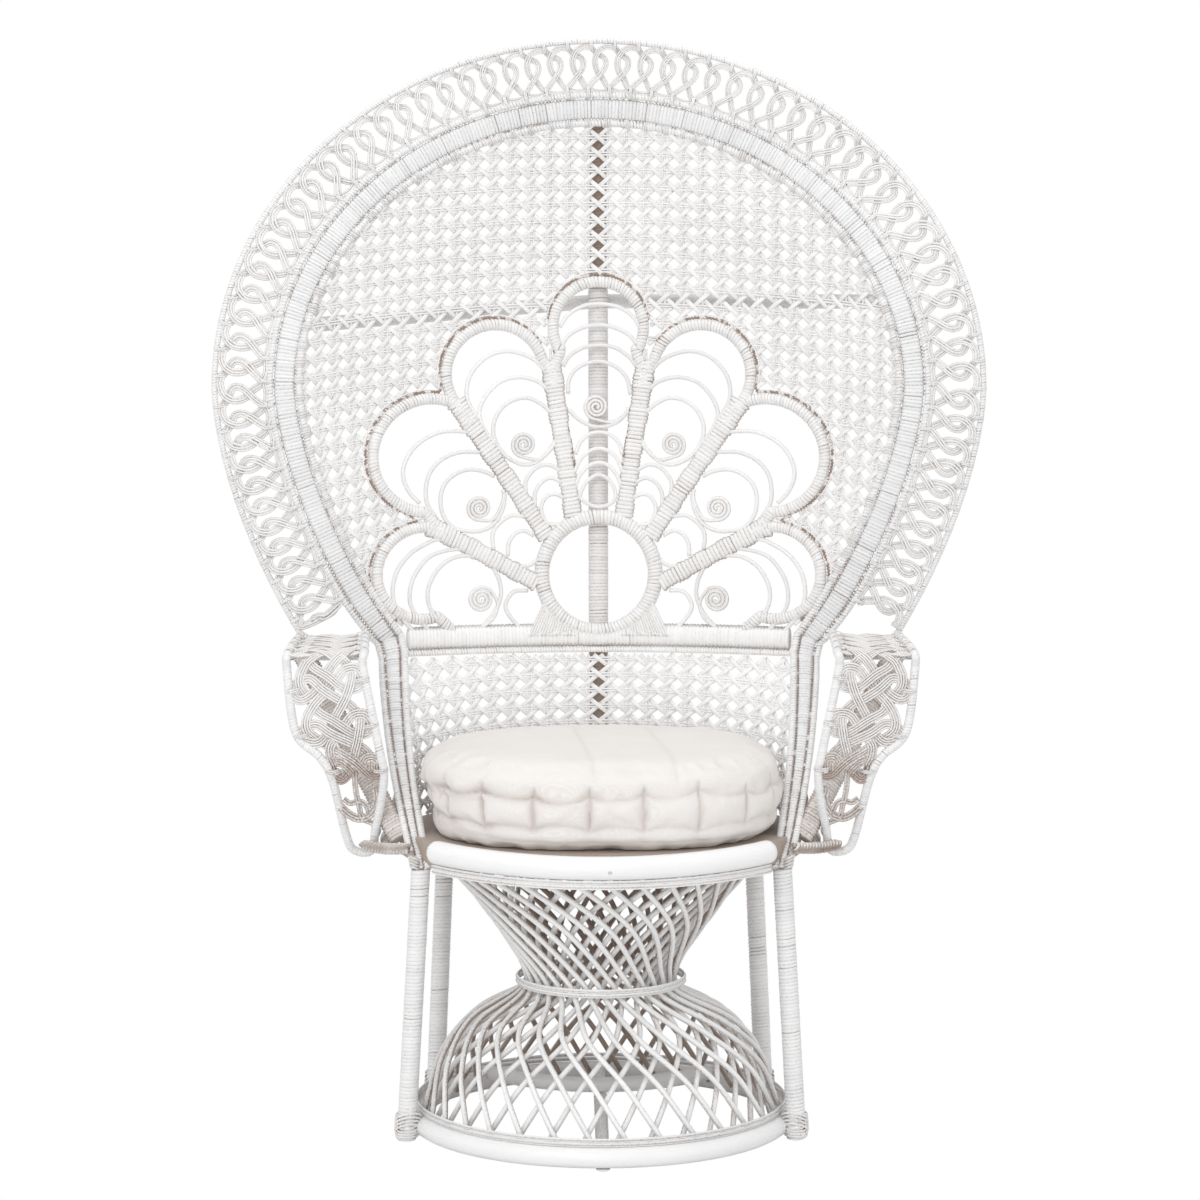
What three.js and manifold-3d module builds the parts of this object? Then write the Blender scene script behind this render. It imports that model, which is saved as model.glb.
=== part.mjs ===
// Peacock chair of wrapped and woven cane with a loose round cushion.
// Millimetres, +Z up, the sitter faces -Y. Places are worked out from the centre of the
// bottom ring on the floor, and the finished group is moved so that its box stands on the origin.
import * as THREE from 'three';
import { mergeVertices } from 'three/addons/utils/BufferGeometryUtils.js';
import Module from 'manifold-3d';

const wasm = await Module();
wasm.setup();

// Clearances and cuts
const touchGap = 0.4;
const weaveGap = 4.2;
const cutDepth = 60;

// Bottom ring, its glides, strips and stretchers
const ringRadius = 250;
const ringPole = 27;
const glideHeight = 3;
const glideDiameter = 18;
const glideFoot = 11;
const backGlideAngle = 64;
const stripHeight = 5.6;
const stripDepth = 5;
const stretcherPole = 18;
const crossPole = 21;
const crossSetBack = 150;
const crossBow = 75;
const crossReach = 155;

// Pedestal of leaning canes
const caneCount = 32;
const caneDiameter = 7.5;
const caneFootRadius = 241;
const innerLayerWaistStep = 13.5;
const innerLayerFootStep = 8.8;
const caneWaistRadius = 104;
const caneTopRadius = 221;
const caneTopShift = 12;
const waistHeight = 203;
const waistStripRadius = 111.5;
const waistHoopDepth = 5;
const waistHoopGrip = 3.5;
const waistHoopHeight = 12;
const lowerTwist = 42;
const upperTwist = 56;

// Seat
const seatHalfWidth = 290;
const seatHalfDepth = 250;
const seatSetBack = 40;
const railHeight = 388;
const railPole = 32;
const railReach = 221;
const backRailPole = 22;
const backRailFront = 20;
const deckThickness = 31;

// Legs
const legPole = 25;
const legTopOut = 251;
const legTopFront = 85;
const legFootOut = 268;
const legFootFront = 84;
const backLegTopOut = 217;
const backLegTopBack = 206;
const backLegFootOut = 232;
const backLegFootBack = 158;
const bindingHeight = 40;
const bindingFoot = 5;
const bindingWall = 3;

// Back surface: it leans back and is dished from side to side
const backAtSeat = 285;
const backAtArms = 300;
const armLevel = 620;
const backLeanShare = 0.115;
const dishRadius = 616;
const flareShare = 0.1;

// Rim, from its inner pole outwards, and the side posts it runs down into
const rimHalfWidth = 420;
const rimCentreHeight = 1000;
const rimTopReach = 374;
const rimLowReach = 580;
const rimEndHeight = 640;
const rimTopRoundness = 2;
const rimLowRoundness = 1.55;
const innerPole = 11;
const outerPole = 10;
const borderPole = 9;
const rimBandSpan = 40.3;
const rimBandThickness = 9;
const borderSpan = 117;
const laceThickness = 7;
const laceStrand = 9;
const laceEyes = 39;
const postFootSpan = 18.5;
const postTopSpan = 34;
const postBow = 22;

// Woven panels
const weaveThickness = 4;
const weaveEndAngle = 9.7;
const weaveOpenings = 10;
const weaveShares = [0, 0.13, 0.45, 0.55, 0.87, 1];
const barrelOpenings = 11;
const barrelShares = [0, 0.14, 0.86, 1];

// Fan
const hubRadius = 79;
const hubHeight = 728;
const hubPole = 15;
const fanReach = 427;
const petalPole = 14;
const arcCane = 6;
const scrollRadius = 15;
const baseRailHeight = 32;
const baseRailThickness = 15;
const baseRailLevel = 641;
const lowerPole = 9;

// Supports behind the back
const backPostPole = 28;
const backPostFoot = 372;
const bracePole = 18;
const braceLevel = 1118;

// Arms
const armTop = 650;
const armFront = 41;
const armOuter = 420;
const armInner = 318;
const armCrease = 500;
const creaseOuter = 366;
const creaseInner = 292;
const armTip = 376;
const armTipOuter = 334;
const armTipInner = 312;
const armTipBack = 12;
const armPole = 12;
const armBarPole = 9;
const armBend = 22;
const armStrandWidth = 15;
const armStrandThickness = 5;
const armWaves = 6;
const strandStartShare = 0.05;
const strandEndShare = 0.88;
const strutWidth = 32;
const strutThickness = 13;
const strutFootOut = 266;
const strutFootBack = -26;
const strutFootHeight = 414;
const tiePole = 10;

// Cushion
const cushionHalfWidth = 246;
const cushionHalfDepth = 236;
const cushionThickness = 96;
const cushionCrown = 14;
const cushionTuft = 7;
const cushionCorner = 14;
const cushionColumns = 21;

const white = new THREE.MeshStandardMaterial({ color: 0xf1efeb, roughness: 0.5, metalness: 0 });
const cane = new THREE.MeshStandardMaterial({ color: 0xeeebe6, roughness: 0.55, metalness: 0 });
const linen = new THREE.MeshStandardMaterial({ color: 0xeae5da, roughness: 0.95, metalness: 0 });

const chair = new THREE.Group();
const turn = Math.PI * 2;
const degree = Math.PI / 180;
const at = (x, y, z) => new THREE.Vector3(x, y, z);
const mix = THREE.MathUtils.lerp;
const poleSides = 5;
const roundSides = 8;
const flatShare = Math.cos(turn / 2 / roundSides);
const poleFlatShare = Math.cos(turn / 2 / poleSides);
const steps = (count, make) => Array.from({ length: count + 1 }, (_, i) => make(i / count, i));

// Solids

function solid(geometry) {
  const bare = new THREE.BufferGeometry();
  bare.setAttribute('position', geometry.getAttribute('position').clone());
  if (geometry.index) bare.setIndex(geometry.index.clone());
  const merged = mergeVertices(bare, touchGap / 400);
  const corners = merged.index.array;
  const kept = [];
  for (let i = 0; i < corners.length; i += 3) {
    const [a, b, c] = [corners[i], corners[i + 1], corners[i + 2]];
    if (a !== b && b !== c && c !== a) kept.push(a, b, c);
  }
  const build = () => new wasm.Manifold(new wasm.Mesh({
    numProp: 3,
    vertProperties: merged.getAttribute('position').array,
    triVerts: new Uint32Array(kept),
  }));
  const made = build();
  if (made.volume() > 0) return made;
  for (let i = 0; i < kept.length; i += 3) [kept[i], kept[i + 1]] = [kept[i + 1], kept[i]];
  return build();
}

function meshed(positions, faces) {
  const geometry = new THREE.BufferGeometry();
  geometry.setAttribute('position', new THREE.Float32BufferAttribute(positions, 3));
  geometry.setIndex(faces);
  return solid(geometry);
}

function add(name, body, material) {
  const { vertProperties, triVerts } = body.getMesh();
  const geometry = new THREE.BufferGeometry();
  geometry.setAttribute('position', new THREE.BufferAttribute(vertProperties, 3));
  geometry.setIndex(new THREE.BufferAttribute(triVerts, 1));
  geometry.computeVertexNormals();
  const mesh = new THREE.Mesh(geometry, material);
  mesh.name = name;
  chair.add(mesh);
}

const cutBy = (body, cutters) => cutters.reduce((left, cutter) => left.subtract(cutter), body);
const joined = (bodies) => wasm.Manifold.union(bodies);
const mirrored = (body) => body.mirror([1, 0, 0]);

function addPair(name, left, material) {
  add(`${name}_left`, left, material);
  add(`${name}_right`, mirrored(left), material);
}

// Shapes

const through = (points) => new THREE.CatmullRomCurve3(points, false, 'centripetal');

function outline(diameter, sides) {
  return Array.from({ length: sides }, (_, i) => {
    const angle = ((i + 0.5) / sides) * turn;
    return new THREE.Vector2(Math.cos(angle), Math.sin(angle)).multiplyScalar(diameter / 2);
  });
}

function tube(points, diameter, count, sides, grow = 0) {
  const section = new THREE.Shape(outline(diameter + 2 * grow, sides));
  return solid(new THREE.ExtrudeGeometry(section, { steps: count, extrudePath: through(points) }));
}

// Round section about a centre, in the plane of two directions
const disc = (centre, side, face, diameter, sides) => outline(diameter, sides)
  .map(({ x, y }) => centre.clone().addScaledVector(side, x).addScaledVector(face, y));

// Four-cornered section about a centre
const slab = (centre, side, halfWidth, face, halfThickness) => [[-1, -1], [1, -1], [1, 1], [-1, 1]]
  .map(([u, v]) => centre.clone().addScaledVector(side, u * halfWidth).addScaledVector(face, v * halfThickness));

// Sections joined one after the other into a closed body, with a flat end on each end
function loft(rows) {
  const count = rows[0].length;
  const faces = [];
  for (let i = 0; i < rows.length - 1; i++) {
    for (let j = 0; j < count; j++) {
      const [a, b] = [i * count + j, i * count + ((j + 1) % count)];
      faces.push(a, b, b + count, a, b + count, a + count);
    }
  }
  const last = (rows.length - 1) * count;
  for (let j = 1; j < count - 1; j++) {
    faces.push(0, j + 1, j, last, last + j, last + j + 1);
  }
  return meshed(rows.flat().flatMap((p) => p.toArray()), faces);
}

// A thin curved sheet of cells, some of them open, with a wall round each opening and round the whole
function sheet(columns, levels, place, isOpen) {
  const index = (i, j, side) => (i * (levels + 1) + j) * 2 + side;
  const points = steps(columns, (share) => steps(levels, (_, j) => [-1, 1].map((side) => place(share, j, side))));
  const isClosed = (i, j) => i >= 0 && j >= 0 && i < columns && j < levels && !isOpen(i, j);
  const faces = [];
  const quad = (a, b, c, d) => faces.push(a, b, c, a, c, d);
  for (let i = 0; i < columns; i++) {
    for (let j = 0; j < levels; j++) {
      const corners = [[i, j], [i, j + 1], [i + 1, j + 1], [i + 1, j]];
      const [near, far] = [0, 1].map((side) => corners.map(([u, v]) => index(u, v, side)));
      const beside = [[i - 1, j], [i, j + 1], [i + 1, j], [i, j - 1]];
      if (isClosed(i, j)) {
        quad(...near);
        quad(...far.toReversed());
        beside.forEach(([u, v], k) => {
          const next = (k + 1) % corners.length;
          if (!isClosed(u, v)) quad(near[next], near[k], far[k], far[next]);
        });
      }
    }
  }
  return meshed(points.flat(2).flatMap((p) => p.toArray()), faces);
}

function lathe(profile, segments) {
  const points = profile.map(([radius, height]) => new THREE.Vector2(radius, height));
  return solid(new THREE.LatheGeometry(points, segments).rotateX(turn / 4));
}

// Flat band bent into a level hoop
const hoop = (radius, depth, low, high, segments) => lathe([
  [radius, low], [radius + depth, low], [radius + depth, high], [radius, high], [radius, low],
], segments);

const box = (x, y, z, width, depth, height) => solid(
  new THREE.BoxGeometry(width, depth, height).translate(x, y, z));

// Back surface

const backLine = (z) => (z > armLevel
  ? backAtArms + (z - armLevel) * backLeanShare
  : mix(backAtSeat, backAtArms, (z - railHeight) / (armLevel - railHeight)));
const onBack = (x, z, behind = 0) => at(x, backLine(z) - (x * x) / (2 * dishRadius) + behind, z);

// Rim: the line of its inner pole seen from the front, and places on it

function rimOutline() {
  const end = Math.asin(((rimCentreHeight - rimEndHeight) / rimLowReach) ** (rimLowRoundness / 2));
  const points = steps(240, (share) => {
    const angle = mix(Math.PI + end, -end, share);
    const [side, rise] = [Math.cos(angle), Math.sin(angle)];
    const [reach, roundness] = rise > 0 ? [rimTopReach, rimTopRoundness] : [rimLowReach, rimLowRoundness];
    const x = rimHalfWidth * Math.sign(side) * Math.abs(side) ** (2 / roundness);
    return at(x, 0, rimCentreHeight + reach * Math.sign(rise) * Math.abs(rise) ** (2 / roundness));
  });
  return new THREE.CatmullRomCurve3(points);
}

const rim = rimOutline();
const fineShare = 0.004;

function rimPlace(share) {
  const here = rim.getPointAt(share);
  const before = rim.getPointAt(Math.max(share - fineShare, 0));
  const along = rim.getPointAt(Math.min(share + fineShare, 1)).sub(before).normalize();
  return { place: onBack(here.x, here.z), out: at(-along.z, -flareShare, along.x).normalize() };
}

function rimAt(share, span) {
  const { place, out } = rimPlace(share);
  return place.addScaledVector(out, span);
}

function shareAtHeight(span, height) {
  let share = 0;
  while (rimAt(share, span).z < height) share += fineShare / 4;
  return share;
}

// Left side post, from the leg's top (0) to the rim's end (1)

const deckTop = railHeight + railPole / 2 - touchGap;
const deckBottom = deckTop - deckThickness;
const legTopHeight = deckBottom - touchGap;

function postAt(share) {
  const top = rimPlace(0).place;
  const x = mix(postFootSpan / 2 - legTopOut, top.x, share) - postBow * Math.sin(Math.PI * share);
  return {
    place: at(x, mix(-legTopFront, top.y, share), mix(legTopHeight, top.z, share)),
    out: at(-1, 0, 0),
    span: mix(postFootSpan, postTopSpan, share),
  };
}

// Stations along the whole frame: up the left post, round the rim, down the right post

const borderStart = shareAtHeight(borderSpan, armTop);
const laceShare = (share) => mix(borderStart, 1 - borderStart, share);
const postShares = [0, 0.2, 0.4, 0.6, 0.8, 0.93];

function frameStations() {
  const foot = postAt(0);
  foot.place.z -= cutDepth / 4;
  const post = [foot, ...postShares.map(postAt)];
  const archShares = [0, borderStart / 2, ...steps(laceEyes, laceShare), 1 - borderStart / 2, 1];
  const arch = archShares.map((share) => {
    const fromEnd = Math.min(share, 1 - share) / borderStart;
    return { ...rimPlace(share), span: mix(postTopSpan, rimBandSpan, Math.min(fromEnd, 1)) };
  });
  const other = post.map(({ place, out, span }) => ({
    place: at(-place.x, place.y, place.z), out: at(-out.x, out.y, out.z), span,
  })).reverse();
  const all = [...post, ...arch, ...other];
  return all.map((station, i) => {
    const before = all[Math.max(i - 1, 0)].place;
    const along = all[Math.min(i + 1, all.length - 1)].place.clone().sub(before).normalize();
    const face = along.clone().cross(station.out).normalize();
    return { ...station, face, side: face.clone().cross(along).normalize() };
  });
}

const stations = frameStations();
const underPosts = box(0, -legTopFront, legTopHeight + touchGap - cutDepth / 2,
  rimHalfWidth * 2, rimHalfWidth, cutDepth);

function rimPole(spanOf, diameter, sides) {
  return loft(stations.map((station) => {
    const centre = station.place.clone().addScaledVector(station.out, spanOf(station));
    return disc(centre, station.side, station.face, diameter, sides);
  }));
}

const innerPoleGrown = rimPole(() => 0, innerPole + 2 * touchGap, poleSides);
const outerPoleGrown = rimPole(({ span }) => span, outerPole + 2 * touchGap, poleSides);

function rimBand(grow) {
  const edge = innerPole / 2 + 4 * touchGap - grow;
  return loft(stations.map(({ place, out, face, span }) => slab(
    place.clone().addScaledVector(out, span / 2), out, span / 2 - edge, face, rimBandThickness / 2 + grow)));
}

const rimBandGrown = rimBand(touchGap);
const postGrown = [innerPoleGrown, outerPoleGrown, rimBandGrown];

function rimFrame() {
  add('rim_inner_pole', rimPole(() => 0, innerPole, poleSides).subtract(underPosts), white);
  add('rim_outer_pole', rimPole(({ span }) => span, outerPole, poleSides).subtract(underPosts), white);
  add('rim_band', rimBand(0).subtract(underPosts), white);
}

// Lace border between the outer rim pole and the border pole

const armLineEnds = [shareAtHeight(rimBandSpan, armTop), borderStart];

function borderBody(grow) {
  return loft(steps(laceEyes, (i) => {
    const { place, out } = rimPlace(laceShare(i));
    const face = rimAt(Math.min(laceShare(i) + fineShare, 1), 0).sub(place).normalize().cross(out).normalize();
    return disc(place.addScaledVector(out, borderSpan), out, face, borderPole + 2 * grow, poleSides);
  }));
}

// One plate with a four-cornered eye in each cell, so that the strands cross between the eyes
function laceBody() {
  const low = rimBandSpan + outerPole / 2 + 2 * touchGap;
  const high = borderSpan - borderPole / 2 - touchGap;
  const middle = (low + high) / 2;
  const eye = (high - low) / 2 - laceStrand / 2;
  const gapShare = laceStrand / (high - low) / 2;
  const positions = [];
  const faces = [];
  const put = (share, span) => {
    const { place, out } = rimPlace(laceShare(share / laceEyes));
    place.addScaledVector(out, span);
    for (const side of [-1, 1]) positions.push(place.x, place.y + side * laceThickness / 2, place.z);
  };
  const tri = (a, b, c) => faces.push(a, b, c, a + 1, c + 1, b + 1);
  const wall = (a, b) => faces.push(a, a + 1, b + 1, a, b + 1, b);
  const cell = 12;
  for (let i = 0; i < laceEyes; i++) {
    put(i, low);
    put(i, high);
    put(i + gapShare, middle);
    put(i + 1 - gapShare, middle);
    put(i + 1 / 2, middle - eye);
    put(i + 1 / 2, middle + eye);
  }
  put(laceEyes, low);
  put(laceEyes, high);
  for (let i = 0; i < laceEyes; i++) {
    const [low0, high0, left, right, down, up] = steps(5, (_, j) => i * cell + 2 * j);
    const [low1, high1] = [(i + 1) * cell, (i + 1) * cell + 2];
    tri(low0, left, high0);
    tri(low0, down, left);
    tri(low0, low1, down);
    tri(low1, right, down);
    tri(low1, high1, right);
    tri(high1, up, right);
    tri(high1, high0, up);
    tri(high0, left, up);
    wall(low0, low1);
    wall(high1, high0);
    wall(down, left);
    wall(left, up);
    wall(up, right);
    wall(right, down);
  }
  wall(2, 0);
  wall(laceEyes * cell, laceEyes * cell + 2);
  return meshed(positions, faces);
}

// Arm pole: from the rim forward, down the front, in to a tip and back up, as one bent pole

const [innerEnd, outerEnd] = [rimAt(armLineEnds[0], rimBandSpan), rimAt(armLineEnds[1], borderSpan)];
const armPoints = [
  [-innerEnd.x, innerEnd.y, armTop],
  [armInner, -armFront + armBend, armTop],
  [armInner, -armFront, armTop - armBend],
  [creaseInner + armBend / 4, -armFront, armCrease + armBend],
  [creaseInner, -armFront + armBend / 4, armCrease - armBend],
  [armTipInner - armBend / 3, armTipBack - armBend, armTip + armBend * 1.5],
  [armTipInner, armTipBack, armTip],
  [armTipOuter, armTipBack, armTip],
  [armTipOuter + armBend / 2, armTipBack - armBend / 2, armTip + armBend],
  [creaseOuter - armBend / 4, -armFront + armBend / 4, armCrease - armBend],
  [creaseOuter + armBend / 2, -armFront, armCrease + armBend / 2],
  [armOuter - armBend / 2, -armFront, armCrease + armBend * 2],
  [armOuter, -armFront, armTop - armBend],
  [armOuter, -armFront + armBend, armTop],
  [-outerEnd.x, outerEnd.y, armTop],
];
const tipPlace = 7;
const armLine = armPoints.map(([x, y, z]) => at(-x, y, z));
const armSteps = 28;
const armGrown = tube(armLine, armPole, armSteps, poleSides, touchGap);
const borderGrown = borderBody(touchGap);

function border() {
  add('border_pole', borderBody(0).subtract(armGrown).subtract(mirrored(armGrown)), white);
  add('border_lace', cutBy(laceBody(), [armGrown, mirrored(armGrown)]), cane);
}

// Base

const ringCentre = glideHeight + ringPole / 2;
const ringTop = glideHeight + ringPole;
const ringSegments = 28;
const ringBody = (grow) => solid(new THREE.TorusGeometry(ringRadius, ringPole / 2 + grow, roundSides, ringSegments)
  .translate(0, 0, ringCentre));
const ringGrown = ringBody(touchGap);
const stripSegments = 20;

function base() {
  add('bottom_ring', ringBody(0), white);
  const glide = lathe([
    [0, 0], [glideFoot / 2, 0], [glideDiameter / 2, glideHeight / 2],
    [glideDiameter / 2, glideHeight - touchGap], [0, glideHeight - touchGap],
  ], roundSides);
  const glideAngles = { front: -turn / 4, back_right: backGlideAngle * degree, back_left: turn / 2 - backGlideAngle * degree };
  for (const [place, angle] of Object.entries(glideAngles)) {
    add(`glide_${place}`, glide.translate([Math.cos(angle) * ringRadius, Math.sin(angle) * ringRadius, 0]), white);
  }
  for (const [place, level] of [['lower', 0], ['upper', 1]]) {
    const low = ringTop + touchGap + level * (stripHeight + touchGap);
    const radius = caneFootRadius + caneDiameter;
    add(`base_strip_${place}`, hoop(radius, stripDepth, low, low + stripHeight, stripSegments), white);
  }
  const stretcherLine = [-1, 0, 1].map((side) => at(0, side * ringRadius, ringCentre));
  add('floor_stretcher', tube(stretcherLine, stretcherPole, 2, roundSides).subtract(ringGrown), white);
  const crossHeight = ringCentre + (stretcherPole + crossPole) / 2 + touchGap;
  const crossLine = steps(6, (share) => at(mix(-crossReach, crossReach, share),
    crossSetBack - crossBow * (1 - (2 * share - 1) ** 2), crossHeight));
  add('cross_stretcher', tube(crossLine, crossPole, 6, roundSides), white);
}

// Pedestal: height and radius shares of a cane below and above the waist

const belowShares = [[1, 1], [0.6, 0.83], [0.3, 0.52], [0.08, 0.03]];
const aboveShares = [[0.1, 0], [0.55, 0.42], [1, 1]];
const caneHigh = deckBottom - touchGap;

// Each cane is three-sided, with its ridge out in the outer layer (1) and in in the inner one (-1)
function caneLayer(ridge, inset, caneLow) {
  const levels = [
    ...belowShares.map(([down, out]) => ({
      z: mix(waistHeight, caneLow, down),
      radius: mix(caneWaistRadius, caneFootRadius, out) - mix(inset[0], inset[1], down),
      twist: lowerTwist * down,
      shift: 0,
    })),
    ...aboveShares.map(([up, out]) => ({
      z: mix(waistHeight, caneHigh, up),
      radius: mix(caneWaistRadius, caneTopRadius, out) - inset[0],
      twist: -upperTwist * up,
      shift: caneTopShift * up * up,
    })),
  ];
  const canes = Array.from({ length: caneCount }, (_, i) => {
    const places = levels.map(({ z, radius, twist, shift }) => {
      const angle = (i / caneCount) * turn + ridge * twist * degree;
      const out = at(Math.cos(angle), Math.sin(angle), 0);
      return { out, centre: out.clone().multiplyScalar(radius).add(at(0, shift, z)) };
    });
    return loft(places.map(({ out, centre }, k) => {
      const isEnd = k === 0 || k === places.length - 1;
      const along = isEnd ? at(0, 0, 1) : places[k + 1].centre.clone().sub(places[k - 1].centre).normalize();
      const side = along.clone().cross(out).normalize();
      const face = side.clone().cross(along).normalize().multiplyScalar(ridge);
      return [[0, 1], [-0.87, -0.5], [0.87, -0.5]].map(([u, v]) => centre.clone()
        .addScaledVector(side, u * caneDiameter / 2).addScaledVector(face, v * caneDiameter / 2));
    }));
  });
  const hoopRadius = caneWaistRadius - inset[0] + waistHoopGrip - waistHoopDepth;
  const band = hoop(hoopRadius, waistHoopDepth, waistHeight - waistHoopHeight / 2,
    waistHeight + waistHoopHeight / 2, caneCount / 2);
  return joined([band, ...canes]);
}

function pedestal() {
  const grip = ringRadius - caneFootRadius - caneDiameter / 2;
  const outerLow = ringCentre + Math.sqrt((ringPole / 2) ** 2 - grip ** 2) + touchGap;
  add('pedestal_canes_outer', caneLayer(1, [0, 0], outerLow), cane);
  add('pedestal_canes_inner', caneLayer(-1, [innerLayerWaistStep, innerLayerFootStep], ringCentre), cane);
  for (const [place, side] of [['upper', 1], ['lower', -1]]) {
    const middle = waistHeight + side * (stripHeight + touchGap) / 2;
    add(`waist_strip_${place}`, hoop(waistStripRadius, stripDepth, middle - stripHeight / 2,
      middle + stripHeight / 2, stripSegments), white);
  }
}

// Seat

const seatPoint = (angle, z, grow = 0) => at(Math.cos(angle) * (seatHalfWidth + grow),
  seatSetBack + Math.sin(angle) * (seatHalfDepth + grow), z);
const seatOut = (p) => at(p.x / seatHalfWidth, (p.y - seatSetBack) / seatHalfDepth, 0).normalize();
const railEndAngle = Math.acos(railReach / seatHalfWidth);
const frontArc = (z, grow) => steps(14, (share) => seatPoint(mix(railEndAngle - turn / 2, -railEndAngle, share), z, grow));
const backRailAngle = Math.asin((backRailFront + seatSetBack) / seatHalfDepth);
const backRailLine = steps(20, (share) => seatPoint(mix(-backRailAngle, turn / 2 + backRailAngle, share), railHeight));
const backRailBody = (grow) => tube(backRailLine, backRailPole, 20, roundSides, grow);
const backRailGrown = backRailBody(touchGap);

function frontRail() {
  const line = frontArc(railHeight, 0);
  const upright = at(0, 0, 1);
  const rows = line.map((p) => disc(p, seatOut(p), upright, railPole, roundSides));
  const cap = (p, side, [reach, size]) => disc(p.clone().add(at(side * reach * railPole, 0, 0)),
    seatOut(p), upright, railPole * size, roundSides);
  const capShares = [[0.13, 0.94], [0.26, 0.75], [0.34, 0.4]];
  const [first, last] = [line[0], line[line.length - 1]];
  return loft([...capShares.map((share) => cap(first, -1, share)).reverse(), ...rows,
    ...capShares.map((share) => cap(last, 1, share))]);
}

function seat() {
  add('seat_front_rail', frontRail(), white);
  add('seat_back_rail', backRailBody(0), white);
  for (const [place, level] of [['upper', 0], ['lower', 1]]) {
    const high = railHeight - flatShare * railPole / 2 - touchGap - level * (stripHeight + touchGap);
    const rows = frontArc(high - stripHeight / 2, railPole / 4).map((p) => slab(p, seatOut(p), stripDepth / 2,
      at(0, 0, 1), stripHeight / 2));
    add(`seat_strip_${place}`, loft(rows), white);
  }
  const edge = flatShare * railPole / 2 + 2 * touchGap;
  const deck = solid(new THREE.CylinderGeometry(1, 1, deckThickness, 36).rotateX(turn / 4)
    .scale(seatHalfWidth - edge, seatHalfDepth - edge, 1).translate(0, seatSetBack, deckTop - deckThickness / 2));
  add('seat_deck', cutBy(deck, [backRailGrown, innerPoleGrown, rimBandGrown]), white);
}

// Legs: a straight pole from the floor to its top

function legLine(topOut, topY, top, footOut, footY) {
  return (z) => at(-mix(footOut, topOut, z / top), mix(footY, topY, z / top), z);
}

function leg(place, top) {
  const over = box(0, 0, top + cutDepth / 2, seatHalfWidth * 2, seatHalfWidth * 2, cutDepth);
  const under = box(0, 0, -cutDepth / 2, seatHalfWidth * 2, seatHalfWidth * 2, cutDepth);
  const line = [-cutDepth / 4, top / 2, top + cutDepth / 4].map(place);
  return cutBy(tube(line, legPole, 2, roundSides), [over, under]);
}

function binding(place) {
  const body = (diameter, low, high) => tube([place(low), place((low + high) / 2), place(high)], diameter, 1, roundSides);
  const wrap = body(legPole + 2 * bindingWall, bindingFoot, bindingFoot + bindingHeight);
  return cutBy(wrap, [body(legPole + 2 * touchGap, -bindingFoot, bindingFoot * 3 + bindingHeight), ringGrown]);
}

function legs() {
  const backTop = railHeight - flatShare * backRailPole / 2 - touchGap;
  const front = legLine(legTopOut, -legTopFront, legTopHeight, legFootOut, -legFootFront);
  const back = legLine(backLegTopOut, backLegTopBack, backTop, backLegFootOut, backLegFootBack);
  addPair('front_leg', leg(front, legTopHeight), white);
  addPair('back_leg', leg(back, backTop), white);
  addPair('front_binding', binding(front), cane);
  addPair('back_binding', binding(back), cane);
}

// Fan: left half, in shares of its reach across and up from the hub

const ribShares = [[-0.088, 0.186, -0.159, 0.700], [-0.208, 0.146, -0.470, 0.570], [-0.225, -0.020, -0.560, 0.165]];
const footRibShares = [-0.224, -0.143, -0.480, -0.143];
const bulbShares = [[0, 0.827, 0.151], [-0.346, 0.671, 0.164], [-0.560, 0.400, 0.190], [-0.583, 0.012, 0.152]];
const scrollShares = [[0, 0.559], [-0.258, 0.441], [-0.400, 0.224], [-0.400, -0.078]];
const arcSizeShares = [0.78, 0.5];
const arcSetShare = 1.3;
const arcTurnShare = 0.31;
const scrollTurns = 1.7;
const scrollStemShare = 0.12;
const lastPetal = bulbShares.length - 1;
const onFan = ([x, up], behind = 0) => onBack(x * fanReach, hubHeight + up * fanReach, behind);

// The line of a petal's pole beside the line of a rib
function besideRib([x1, up1, x2, up2], side) {
  const reach = side * (petalPole / 2 + touchGap) / fanReach / Math.hypot(x2 - x1, up2 - up1);
  const [dx, dup] = [(up2 - up1) * reach, (x1 - x2) * reach];
  return [0, 0.5, 1].map((share) => [mix(x1, x2, share) + dx, mix(up1, up2, share) + dup]);
}

function petalLine(k) {
  const [cx, cup, radius] = bulbShares[k];
  const right = k === 0 ? ribShares[0].map((s, i) => (i % 2 ? s : -s)) : ribShares[k - 1];
  const first = besideRib(right, -1);
  const last = k === lastPetal ? besideRib(footRibShares, 0) : besideRib(ribShares[k], 1);
  const angleTo = ([x, up]) => Math.atan2(up - cup, x - cx);
  const start = angleTo(first[2]);
  const end = angleTo(last[2]);
  const bend = steps(8, (share) => {
    const angle = mix(start, end < start ? end + turn : end, share);
    return [cx + Math.cos(angle) * radius, cup + Math.sin(angle) * radius];
  });
  return [first[0], first[1], ...bend.slice(1, -1), last[1], last[0]].map((share) => onFan(share));
}

const nearest = (line, p) => line.reduce((best, q) => (q.distanceTo(p) < best.distanceTo(p) ? q : best));

// Smooth arcs that repeat the petal's round end inside it, with their ends on its pole
function petalArcs(k) {
  const [cx, cup, radius] = bulbShares[k];
  const length = Math.hypot(cx, cup);
  const [ax, aup] = [cx / length, cup / length];
  const line = through(petalLine(k)).getSpacedPoints(80);
  return arcSizeShares.map((size) => {
    const middle = length + radius * (size - 1) * arcSetShare;
    const points = steps(6, (share) => {
      const angle = mix(-arcTurnShare, arcTurnShare, share) * turn;
      const [along, side] = [Math.cos(angle) * radius * size + middle, Math.sin(angle) * radius * size];
      return onFan([along * ax - side * aup, along * aup + side * ax]);
    });
    return [nearest(line, points[0]), ...points.slice(1, -1), nearest(line, points[6])];
  });
}

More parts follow.
